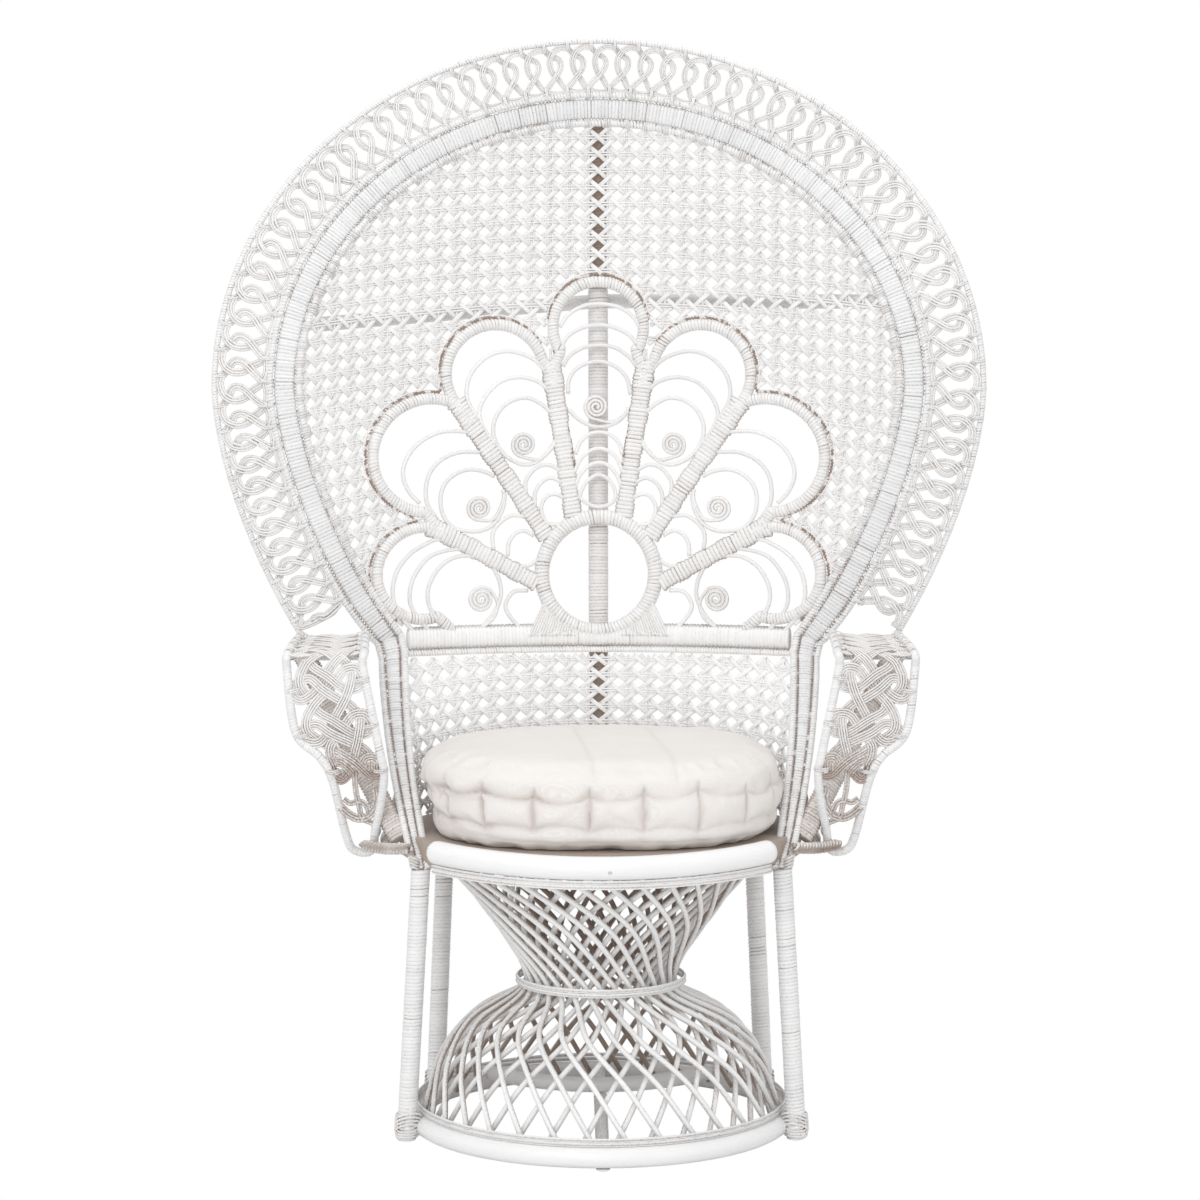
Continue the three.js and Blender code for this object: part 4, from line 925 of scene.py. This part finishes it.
def weave(strands, place, normal, inside):
    """The strands where they are inside, as a piece, and the ends of the uprights and rows."""
    piece, ends = Piece(), []
    for across, up, front, width in strands:
        line = place(across, up)
        for a, b in run_parts(inside(line, across, up)):
            part = line[a:b]
            face = normal(part, across[a:b], up[a:b])
            drift = chance.normal(0, 0.35)
            part = part + face * (front[a:b] + 0.2 * drift)[:, None]
            # Strands that lie further back are darker: painted shade.
            deep = 0.12 + 0.25 * (0.5 - 0.5 * np.clip(front[a:b] / 1.5, -1, 1))
            piece.sweep(part, face, flat(width + 0.3 * drift, 1.1, 0.25, 3), deep, edge=0.45)
            if width < 6:
                ends += [part[0], part[-1]]
    return piece, ends


UPPER_PITCH, UPPER_ROW, UPPER_TOP, CROWDING, SAG = 27.5, 24.0, 1366, 848.5, 32


def upper_place(across, up):
    """The columns crowd together and the rows sag towards the sides, the more so the lower they are."""
    x = CROWDING * np.tanh(UPPER_PITCH * (across + 0.5) / CROWDING)
    high = UPPER_TOP + UPPER_ROW * (up - 0.5)
    lower = np.clip((RIM_CENTRE - high) / (RIM_CENTRE - BEND), 0, 1)
    z = high - SAG * (x / 418) ** 2 * (1 + lower)
    return on_back(x * (1 - 0.09 * lower), z)


def upper_inside(line, across, up):
    """Within the rim, outside the fan and above the fan's base rail."""
    x, z = line[:, 0], line[:, 2]
    rim = RIM[::3]
    near = rim[np.hypot(x[:, None] - rim[:, 0], z[:, None] - rim[:, 1]).argmin(1)]
    within = np.hypot(x, z - 960) < np.hypot(near[:, 0], near[:, 1] - 960)
    angle = np.arctan2(z - HUB_HEIGHT, x)
    angle = np.where(angle < -math.pi / 2, angle + TURN, angle)
    outside = np.hypot(x, z - HUB_HEIGHT) > fan_edge(angle) - 1
    return within & outside & (angle > math.radians(-14)) & (angle < math.radians(194)) & (z > FAN_FOOT)


def make_upper_weave():
    piece, ends = weave(six_way((-20, 19), (-31, 1)), upper_place, lambda line, *_: back_normal(line), upper_inside)
    piece.made("upper_weave", CANE, "painted_cane", "back_weave")
    ties = Piece()
    for end in ends:
        far = np.hypot(RIM[:, 0] - end[0], RIM[:, 1] - end[2])
        if far.min() <= 9:
            place, out, face = rim_place(RIM_SHARES[far.argmin()])
            ties.coil(place, np.cross(out, face), out, (7.0, 7.0), 1.6, 2.6, (2.4, 0.9), 0.35)
    ties.made("weave_ties", CANE, "painted_cane")


# The barrel behind the cushion: levels of a surface from the back rail up to the pole under the fan

BARREL_LOW, BARREL_HIGH, BARREL_REACH = 399.6, 615.2, 279


def barrel_table():
    """Shares of the height, the barrel's points at each, and how far round from the middle they are."""
    share = np.linspace(0, 1, 241)
    low = seat_line(math.pi + BACK_ANGLE, -BACK_ANGLE, BARREL_LOW, count=240)
    high = on_back(mix(-BARREL_REACH, BARREL_REACH, share), BARREL_HIGH)
    ups = np.linspace(0, 1, 41)
    table = mix(low[None], high[None], ups[:, None, None])
    ways = np.array([ways_along(level) for level in table])
    return ups, table, ways - ways[:, 120:121]


UPS, BARREL, BARREL_WAYS = barrel_table()


def barrel_place(way, up):
    """A place on the barrel: mm round from its middle, and the share of its height."""
    up = np.clip(up, 0, 1) * (len(UPS) - 1)
    first = np.minimum(up.astype(int), len(UPS) - 2)
    part = (up - first)[:, None]
    made = np.empty((2, len(way), 3))
    for k in (0, 1):
        for level in np.unique(first + k):
            here = first + k == level
            for axis in range(3):
                made[k, here, axis] = np.interp(way[here], BARREL_WAYS[level], BARREL[level, :, axis])
    return mix(made[0], made[1], part)


def make_barrel():
    pitch, row, sag, first = 28.6, 22.6, 10, 4

    def share_up(across, up):
        level = up * row - sag * ((across + 0.5) * pitch / 300) ** 2 + first
        return level / (BARREL_HIGH - BARREL_LOW)

    def place(across, up):
        return barrel_place((across + 0.5) * pitch, share_up(across, up))

    def normal(line, across, up):
        ahead = place(across + 0.05, up) - place(across - 0.05, up)
        rise = place(across, 8 + 0 * up) - place(across, 1 + 0 * up)
        face = unit(np.cross(ahead, rise))
        inwards = -face[:, 1:2] - face[:, 0:1] * np.sign(line[:, 0:1]) > 0
        return np.where(inwards, face, -face)

    def inside(line, across, up):
        s = share_up(across, up)
        half = np.interp(np.clip(s, 0, 1), UPS, BARREL_WAYS[:, -1])
        return (s > 0.004) & (s < 0.996) & (np.abs((across + 0.5) * pitch) < half - 2)

    piece, _ = weave(six_way((-18, 17), (0, 13)), place, normal, inside)
    piece.made("barrel_canes", PALE, "painted_cane", "barrel_weave")


# Supports behind the back


def make_supports():
    heights = (620.0, 997.0, 1374.0)
    line = smooth([vec(0, 315.4, 372), *(on_back(0.0, z, 23.4) for z in heights)], 1.2, times=STEPS)
    worn = [(610, 0.95), (640, 0.2), (700, 0.02), (790, 0.05), (815, 0.42), (880, 0.2), (1120, 0.1), (1150, 0.95)]
    dark_share = np.interp(line[:, 2], *zip(*worn, strict=True))[:, None]
    data = line, FRONT, disc(29.4, 16), 4.8, 0.8, dark_share
    make_pole("back_post_wrap", WORN, "back_post", Piece.wrapped, *data, lean=0.05)
    share = np.linspace(-1, 1, 60)
    line = on_back(share * 397, 1118 - 32 * np.maximum(-share, 0), mix(47.5, 15.0, share**2))
    # The brace is darker on the left, as painted shade behind the weave.
    dark_share = np.interp(line[:, 0], (-60, 60), (0.35, 0))[:, None]
    make_pole("brace_pole", POLE, "rear_brace", Piece.sweep, line, UP, disc(21, 16), 0.2, dark_share)


make_petals()
make_ribs()
make_hub()
make_fan_rail()
make_stitches()
make_upper_weave()
make_barrel()
make_supports()


# Arms: the pole goes from the rim forward, down to the tip, back up and back to the border

ARM = [
    (-318, -19, ARM_LEVEL), (-318, -41, 628), (-297.5, -41, 522), (-292, -35.5, 478), (-304.7, -10, 409),
    (-312, 12, 376), (-334, 12, 376), (-345, 1, 398), (-360.5, -35.5, 478), (-377, -41, 511), (-409, -41, 544),
    (-420, -41, 628), (-420, -19, ARM_LEVEL),
]
OUTER_END = rim_at(BORDER_START, BORDER_SPAN)
ARM_LINE = np.vstack([rim_at(rim_start(BAND_SPAN), BAND_SPAN), ARM, OUTER_END])
ARM_TIP = 7
ARM_IN = smooth(ARM_LINE[:ARM_TIP], 2)
ARM_OUT = smooth(ARM_LINE[ARM_TIP:][::-1], 2)


def on_arm(along, across):
    """A place between the arm's runs, along from the back (0) to the tip (1), across from inside (0) to outside (1)."""
    ends = []
    for run in (ARM_IN, ARM_OUT):
        known = np.linspace(0, 1, len(run))
        ends.append(np.stack([np.interp(along, known, run[:, i]) for i in range(3)], -1))
    return mix(ends[0], ends[1], np.asarray(across)[..., None])


def arm_face(along):
    middle = 0.5 + 0 * along
    run = on_arm(np.clip(along + 0.01, 0, 1), middle) - on_arm(np.clip(along - 0.01, 0, 1), middle)
    width = on_arm(along, 1 + 0 * along) - on_arm(along, 0 * along)
    return unit(np.cross(width, run))


# Two routes through the knots, each taken by two bundles of four canes, one knot apart: knots travelled, from the
# inner run (0) to the outer one (1), and to the front. A route comes round every second knot.
ARM_ROUTES = (
    [(-0.185, 0.155, 1), (0.033, 0.193, 2), (0.33, 0.287, 2), (0.685, 0.452, 0), (1.038, 0.623, -3), (1.215, 0.806, 2),
     (1.16, 0.926, 1), (0.984, 0.962, 0), (0.861, 0.899, -2), (0.793, 0.717, 1), (1.065, 0.563, 2), (1.31, 0.401, 1),
     (1.5, 0.263, -2), (1.69, 0.187, -2)],
    [(0.1, 0.80, -2), (0.304, 0.731, -2), (0.549, 0.653, 1), (0.793, 0.481, 2), (1.12, 0.298, -1), (1.174, 0.177, -1),
     (1.147, 0.094, 0), (1.01, 0.03, 0), (0.793, 0.06, 1), (0.712, 0.142, 2), (0.739, 0.255, 1), (0.875, 0.349, 0),
     (1.02, 0.45, -3), (1.174, 0.56, 0), (1.39, 0.717, 2), (1.663, 0.828, 1), (1.9, 0.85, 0)],
)
ARM_KNOT_MIDDLE, ARM_KNOT_STEP = 0.545, 0.1107
KNOTS_FROM, KNOTS_TO = 0.035, 0.775
# How large the panel is about, which sets how far apart the points on a route are
ARM_SIZE = vec(560, 100, 1)
# The canes below the fold, across and up, with how many there are
ARM_LOOPS = (
    ([(-351, 441), (-340, 430), (-328, 424), (-315, 427), (-306, 438), (-301, 452), (-303, 468)], 3),
    ([(-331, 492), (-330, 466), (-326, 442), (-322, 424), (-309, 417), (-301, 407), (-306, 396), (-314, 385),
      (-322, 377)], 2),
    ([(-346, 452), (-338, 446), (-327, 449), (-318, 445), (-313, 434)], 2),
)


def knot_runs():
    """Each bundle's way over the panel, as along and across in mm and to the front."""
    for route in ARM_ROUTES:
        for late in (0, 1):
            rounds = [np.array(route) + [late + 2 * k, 0, 0] for k in range(-4, 2)]
            steps = np.vstack(rounds) * [ARM_KNOT_STEP, 1, 1] + [ARM_KNOT_MIDDLE, 0, 0]
            kept = np.flatnonzero((steps[:, 0] > KNOTS_FROM) & (steps[:, 0] < KNOTS_TO))
            yield smooth(steps[kept[0]:kept[-1] + 1] * ARM_SIZE, 2.8)


def arm_pole(hand, turn):
    pole = Piece()
    line = smooth(ARM_LINE * turn, 1.1, times=STEPS)
    pole.wrapped(line, unit(vec(0.3, -1, 0.6)), disc(12), 4.6, 0.4, worn=0.5)
    for ends in (((-318, -8, 642), (-420, -8, 642)), ((-292, -31, 489), (-366, -31, 489))):
        pole.wrapped(even(np.array(ends, float) * turn, 1.1, times=STEPS), FRONT, disc(9), 4.4, 0.4)
    pole.made(f"arm_pole_wrap_{hand}", POLE, "painted_pole", f"arm_pole_{hand}")


def arm_knots(hand, turn):
    knots = Piece()
    for run in knot_runs():
        along, across, front = (run / ARM_SIZE).T
        face = arm_face(along) * turn
        line = on_arm(along, across) * turn + face * front[:, None]
        _, side, _ = frame_of(line, face)
        # The knots turn brown towards the tip, below the fold, as painted shade.
        dark_share = np.clip((along - 0.55) * 3.5, 0, 0.85)[:, None]
        for lane in (-1.5, -0.5, 0.5, 1.5):
            knots.sweep(line + side * lane * 3.35, face, disc(3.25, 8), 0.15, dark_share, edge=0.85)
    for points, count in ARM_LOOPS:
        x, z = np.array(points, float).T
        line = smooth(np.stack([x, np.interp(z, (376, 409, 478, 522), (12, -9, -37, -43)), z], 1) * turn, 2.8)
        face = unit(vec(0.1, -1, 0.4)) * turn
        _, side, _ = frame_of(line, face)
        for lane in range(count):
            shift = side * (lane - (count - 1) / 2) * 3.9
            # The canes below the fold are partly brown, as painted shade.
            knots.sweep(line + shift, face, disc(3.8, 8), 0.35, 0.6, edge=0.8)
    for k in range(-4, 4):
        along = ARM_KNOT_MIDDLE + k * ARM_KNOT_STEP
        for across in (0.015, 0.975):
            if 0.04 < along < 0.79:
                spot, ahead = on_arm(np.array([along, along + 0.01]), np.array([across, across]))
                ahead = unit((ahead - spot) * turn)
                inward = unit(on_arm(along, 0.5) - spot) * turn
                knots.coil(spot * turn + inward * 2.5, ahead, inward, (10.0, 8.2), 2.2, 2.6, (2.6, 1.0), 0.4)
    knots.made(f"arm_knots_{hand}", CANE, "painted_cane", f"arm_weave_{hand}")


def arm_strut(hand, turn):
    top, foot = vec(-422, OUTER_END[1] - 18, 636) * turn, vec(-271, -30, 398) * turn
    fall = foot - top
    face = unit(np.cross(fall, np.cross(FRONT, fall)))
    data = even([top, foot], 1.3, times=STEPS), -face, flat(32, 13, 0.6, 7), 5.2, 1.3
    name, node = f"arm_strut_wrap_{hand}", f"arm_strut_{hand}"
    # The strut is brown and darker, as painted shade under the arm.
    make_pole(name, BROWN, node, Piece.wrapped, *data, bare=0.5, lean=0.05, worn=0.9)


def arm_tie(hand, turn):
    tie = Piece()
    run = smooth(np.array([(-322, 4, 384), (-290, -36, 386), (-256, -78, 393)], float) * turn, 2.0)
    _, side, face = frame_of(run, UP)
    for lane in range(3):
        angle = np.linspace(0, 5 * TURN, len(run)) + lane * TURN / 3
        strand = run + side * (np.cos(angle) * 5)[:, None] + face * (np.sin(angle) * 5)[:, None]
        tie.sweep(strand, UP, disc(6.2, 8), 0.35, 0.4, edge=0.9)
    tie.made(f"arm_tie_braid_{hand}", CANE, "painted_cane", f"arm_tie_{hand}")


for each in HANDS:
    arm_pole(*each)
    arm_knots(*each)
    arm_strut(*each)
    arm_tie(*each)


# Cushion


def linen():
    n = Nodes("linen")
    place = n.place()
    threads = []
    for angle in (0.15, 1.72):
        turned = n.add("Mapping", Vector=place, Rotation=(0, 0, angle))
        wave = n.add("TexWave", Vector=turned.outputs[0], Scale=1500 / 6.28, Distortion=1.2, Detail=1.0)
        threads.append(wave.outputs["Fac"])
    cloth = n.maths("MAXIMUM", threads[0], threads[1])
    cloud = n.noise(place, 7.0, 4.0)
    slub = n.noise(n.scaled(place, (60, 700, 700)), 1.0, 2.0)
    crease_shade = n.read("wear_and_shade", "Fac")
    colour = n.blend(n.spread(cloud, 0.3, 0.7), (0.90, 0.872, 0.848, 1), (0.86, 0.825, 0.797, 1))
    colour = n.blend(n.spread(slub, 0.55, 0.8, 0, 0.35), colour, (0.70, 0.66, 0.60, 1))
    colour = n.blend(n.spread(cloth, 0.2, 0.9, 0.16, 0.0), colour, (0.62, 0.57, 0.51, 1))
    # Creases, seams and the hem are darkened towards brown: painted shade.
    colour = n.blend(n.maths("MULTIPLY", crease_shade, 0.6), colour, (0.42, 0.33, 0.27, 1))
    n.put(n.surface.inputs["Base Color"], colour)
    n.put(n.surface.inputs["Roughness"], n.spread(slub, 0.3, 0.7, 0.82, 0.95))
    n.surface.inputs["Sheen Weight"].default_value = 0.15
    n.surface.inputs["Sheen Roughness"].default_value = 0.5
    n.surface.inputs["Specular IOR Level"].default_value = 0.2
    folds = n.bump(n.noise(place, 38.0, 3.0), 0.004, 0.35)
    n.put(n.surface.inputs["Normal"], n.bump(cloth, 0.0005, 0.5, folds))
    return n.material


# Half sizes, the level of the underside and the place from front to back. SQUARE is how far the pad is from an oval,
# for which it is 2, and STITCHES is how many upright ones go round it.
CUSHION_WIDTH, CUSHION_DEPTH, CUSHION_LOW, CUSHION_MIDDLE = 251, 240, 404.4, 40
SQUARE, STITCHES, PAD_HEIGHT = 2.5, 21, 108
MOST_SWELL = 0.008

# The pad's outline from the middle of its underside to the middle of its top: mm in from the edge, and level
PAD = [
    (205, 404.4), (120, 404.4), (50, 404.4), (18, 406), (5, 412), (0, 423), (-1, 450), (-1, 478), (0, 495), (5, 506),
    (16, 512), (60, 516), (140, 518.5), (205, 519),
]


def bare_cushion(rise):
    """A round pad with upright sides and a low crown, this much smaller all round, as rings from below to its top."""
    angle = np.linspace(0, TURN, 97)[:-1]
    inset, level = smooth(np.array(PAD, float), 6).T
    grid = np.empty((len(inset), len(angle), 3))
    across, back = (np.sign(w) * np.abs(w) ** (2 / SQUARE) for w in (np.cos(angle), np.sin(angle)))
    grid[..., 0] = np.outer(CUSHION_WIDTH - rise - inset, across)
    grid[..., 1] = np.outer(CUSHION_DEPTH - rise - inset, back) + CUSHION_MIDDLE
    grid[..., 2] = (CUSHION_LOW + rise + (level - CUSHION_LOW) * (1 - 2 * rise / PAD_HEIGHT))[:, None]
    return grid


def read_points(mesh, what="co"):
    data = np.empty(len(mesh.vertices) * 3)
    mesh.vertices.foreach_get(what, data)
    return data.reshape(-1, 3)


def make_cushion(material):
    piece = Piece()
    piece.rings(bare_cushion(2.5), vec(0, 0, 0), 0.0, 0.0)
    pad = piece.made("cushion_pad", material, "linen", "cushion", "cushion")
    bpy.context.view_layer.objects.active = pad
    pad.select_set(True)
    remesh = pad.modifiers.new("even", "REMESH")
    remesh.mode = "VOXEL"
    remesh.voxel_size = 0.005
    bpy.ops.object.modifier_apply(modifier=remesh.name)
    start = end = read_points(pad.data)
    cloth = pad.modifiers.new("fill", "CLOTH")
    cloth.settings.use_pressure = True
    cloth.settings.uniform_pressure_force = 4
    cloth.settings.effector_weights.gravity = 0
    for step in range(1, 21):
        bpy.context.scene.frame_set(step)
    end = read_points(pad.evaluated_get(bpy.context.evaluated_depsgraph_get()).to_mesh())
    pad.modifiers.remove(cloth)
    bpy.context.scene.frame_set(1)
    move = end - start
    far = np.linalg.norm(move, axis=1, keepdims=True)
    points = start + move * np.minimum(1, MOST_SWELL / np.maximum(far, 1e-9))
    pad.data.vertices.foreach_set("co", points.ravel())
    sub = pad.modifiers.new("fine", "SUBSURF")
    sub.levels = sub.render_levels = 1
    bpy.ops.object.modifier_apply(modifier=sub.name)
    stitch_cushion(pad)


def stitch_cushion(pad):
    """Sews the pad: a crease above and below a middle tier, uprights between them, and a seam near the bottom."""
    mesh = pad.data
    points = (read_points(mesh) - origin) * 1000
    x, y, z = points[:, 0], points[:, 1] - CUSHION_MIDDLE, points[:, 2]
    angle = np.arctan2(y / CUSHION_DEPTH, x / CUSHION_WIDTH)
    reach = (np.abs(x / CUSHION_WIDTH) ** SQUARE + np.abs(y / CUSHION_DEPTH) ** SQUARE) ** (1 / SQUARE)
    side = np.clip((reach - 0.9) / 0.05, 0, 1)
    cell = angle / TURN * STITCHES + 0.49
    # 1 at an upright stitch, and 0 halfway to the next one
    knot = np.abs(cell - np.floor(cell) - 0.5) * 2
    sway = 3.0 * np.sin(angle * 5 + 1) + 2.0 * np.sin(angle * 11)
    upper, lower = 474 + sway + 7 * knot**2, 437 - sway * 0.5 - 6 * knot**2
    # The left end is sewn harder
    strong = np.clip(0.8 - 0.4 * x / CUSHION_WIDTH + 0.15 * np.sin(angle * 3 + 2.2), 0.35, 1.15)
    pull = np.zeros(len(points))
    for level, depth in ((upper, 11.5), (lower, 8.5)):
        pull = np.maximum(pull, depth * strong * np.exp(-np.abs(z - level) / 4.5) * (0.45 + 0.55 * knot**2))
    tier = np.clip((z - lower + 6) / 8, 0, 1) * np.clip((upper + 14 - z) / 10, 0, 1)
    upright = np.exp(-((1 - knot) / 0.11)) * tier
    pull = np.maximum(pull, 9.0 * upright * (0.5 + 0.5 * strong))
    hem = np.exp(-np.abs(z - 416) / 1.6) * 1.6
    scallop = 4.5 * np.clip(1 - (z - CUSHION_LOW) / 22, 0, 1) * (1 - np.abs(np.sin(cell * math.pi)))
    puff = 3.0 * np.sin(np.clip((z - lower) / (upper - lower), 0, 1) * math.pi) * (1 - knot**2) * side
    # Two seams run over the top from front to back
    seams_and_shade = np.zeros(len(points))
    for (seam_x, seam_y), turn in (((-20, -90), 0.07), ((88, -100), 0.09)):
        off = x - seam_x + (y - seam_y) * turn
        seams_and_shade = np.maximum(seams_and_shade, np.exp(-np.abs(off) / 3.0) * (y < 150))
    dimple = 2.2 * seams_and_shade * np.clip((z - 490) / 10, 0, 1)
    ruck = -3.2 * knot**3 * strong * np.exp(-(1 - np.minimum(reach, 1)) * 9) * (z > 478)
    # The left end sags under the upper crease and swells over it
    slump = 20 * np.clip(-x / CUSHION_WIDTH - 0.35, 0, 1) * side
    ruck += slump * (np.clip((z - 474) / 8, 0, 1) * 0.25 - np.clip((476 - z) / 8, 0, 1))
    ruck += 1.3 * np.sin(x / 31 + 1.7 * np.sin(y / 43)) * np.sin(y / 37 + 0.8) * np.clip((z - 500) / 8, 0, 1)
    move = ruck - (pull * side + hem * side + scallop * side + dimple) + puff
    moved = points + read_points(mesh, "normal") * move[:, None]
    moved[:, 2] = np.maximum(moved[:, 2], CUSHION_LOW)
    mesh.vertices.foreach_set("co", (moved / 1000 + origin).ravel())
    for name in ("flow", "wear_and_shade", "bare"):
        if name in mesh.attributes:
            mesh.attributes.remove(mesh.attributes[name])
    # The creases, the hem and the seams over the top are marked by their depth, for painted shade.
    mark = mesh.attributes.new("wear_and_shade", "FLOAT", "POINT")
    mark.data.foreach_set("value", np.clip((pull * side + hem * 2 * side + dimple) / 12, 0, 1).astype(np.float32))
    mesh.polygons.foreach_set("use_smooth", np.ones(len(mesh.polygons), bool))
    mesh.update()


make_cushion(linen())


# Floor, light and camera


def make_stage():
    mesh = bpy.data.meshes.new("floor")
    mesh.from_pydata([(-30, -30, 0), (30, -30, 0), (30, 30, 0), (-30, 30, 0)], [], [(0, 1, 2, 3)])
    floor = put_in_scene("floor", mesh)
    n = Nodes("pale_floor")
    n.surface.inputs["Base Color"].default_value = (0.82, 0.82, 0.82, 1)
    n.surface.inputs["Roughness"].default_value = 0.9
    glow = n.add("Emission", Strength=1.0)
    seen = n.tree.nodes.new("ShaderNodeLightPath")
    both = n.tree.nodes.new("ShaderNodeMixShader")
    n.put(both.inputs[0], seen.outputs["Is Camera Ray"])
    n.put(both.inputs[1], n.surface.outputs[0])
    n.put(both.inputs[2], glow.outputs[0])
    n.put(n.tree.nodes["Material Output"].inputs["Surface"], both.outputs[0])
    mesh.materials.append(n.material)
    world = bpy.data.worlds.new("studio")
    bpy.context.scene.world = world
    world.use_nodes = True
    tree = world.node_tree
    tree.nodes.clear()
    out = tree.nodes.new("ShaderNodeOutputWorld")
    choose = tree.nodes.new("ShaderNodeMixShader")
    path = tree.nodes.new("ShaderNodeLightPath")
    for kind, strength, socket in (("dome", 0.72, 1), ("backdrop", 1.0, 2)):
        light = tree.nodes.new("ShaderNodeBackground")
        light.label = kind
        light.inputs["Strength"].default_value = strength
        light.inputs["Color"].default_value = (1, 1, 1, 1)
        tree.links.new(light.outputs[0], choose.inputs[socket])
    tree.links.new(path.outputs["Is Camera Ray"], choose.inputs[0])
    tree.links.new(choose.outputs[0], out.inputs["Surface"])
    for name, place, power, size in (
        ("key", (-1.5, -3.4, 3.4), 44, 2.2), ("fill", (2.8, -2.2, 1.8), 7, 2.6),
        ("low", (-0.4, -3.2, 0.3), 16, 1.6), ("top", (0.0, 0.1, 3.8), 22, 1.6),
    ):
        light = bpy.data.lights.new(name, "AREA")
        light.energy = power
        light.size = size
        lamp = put_in_scene(name, light)
        lamp.location = place
        lamp.rotation_euler = (Vector((0, 0, 0.8)) - Vector(place)).to_track_quat("-Z", "Y").to_euler()


def make_camera():
    data = bpy.data.cameras.new("camera")
    data.lens = 102.75
    data.sensor_width = 36
    camera = put_in_scene("camera", data)
    camera.location = Vector((-0.051, -4.596, 1.135)) + Vector(origin)
    camera.rotation_euler = (math.radians(90 - 5.18), 0, math.radians(-0.62))
    bpy.context.scene.camera = camera


make_stage()
make_camera()
bpy.context.scene.view_settings.view_transform = "Standard"
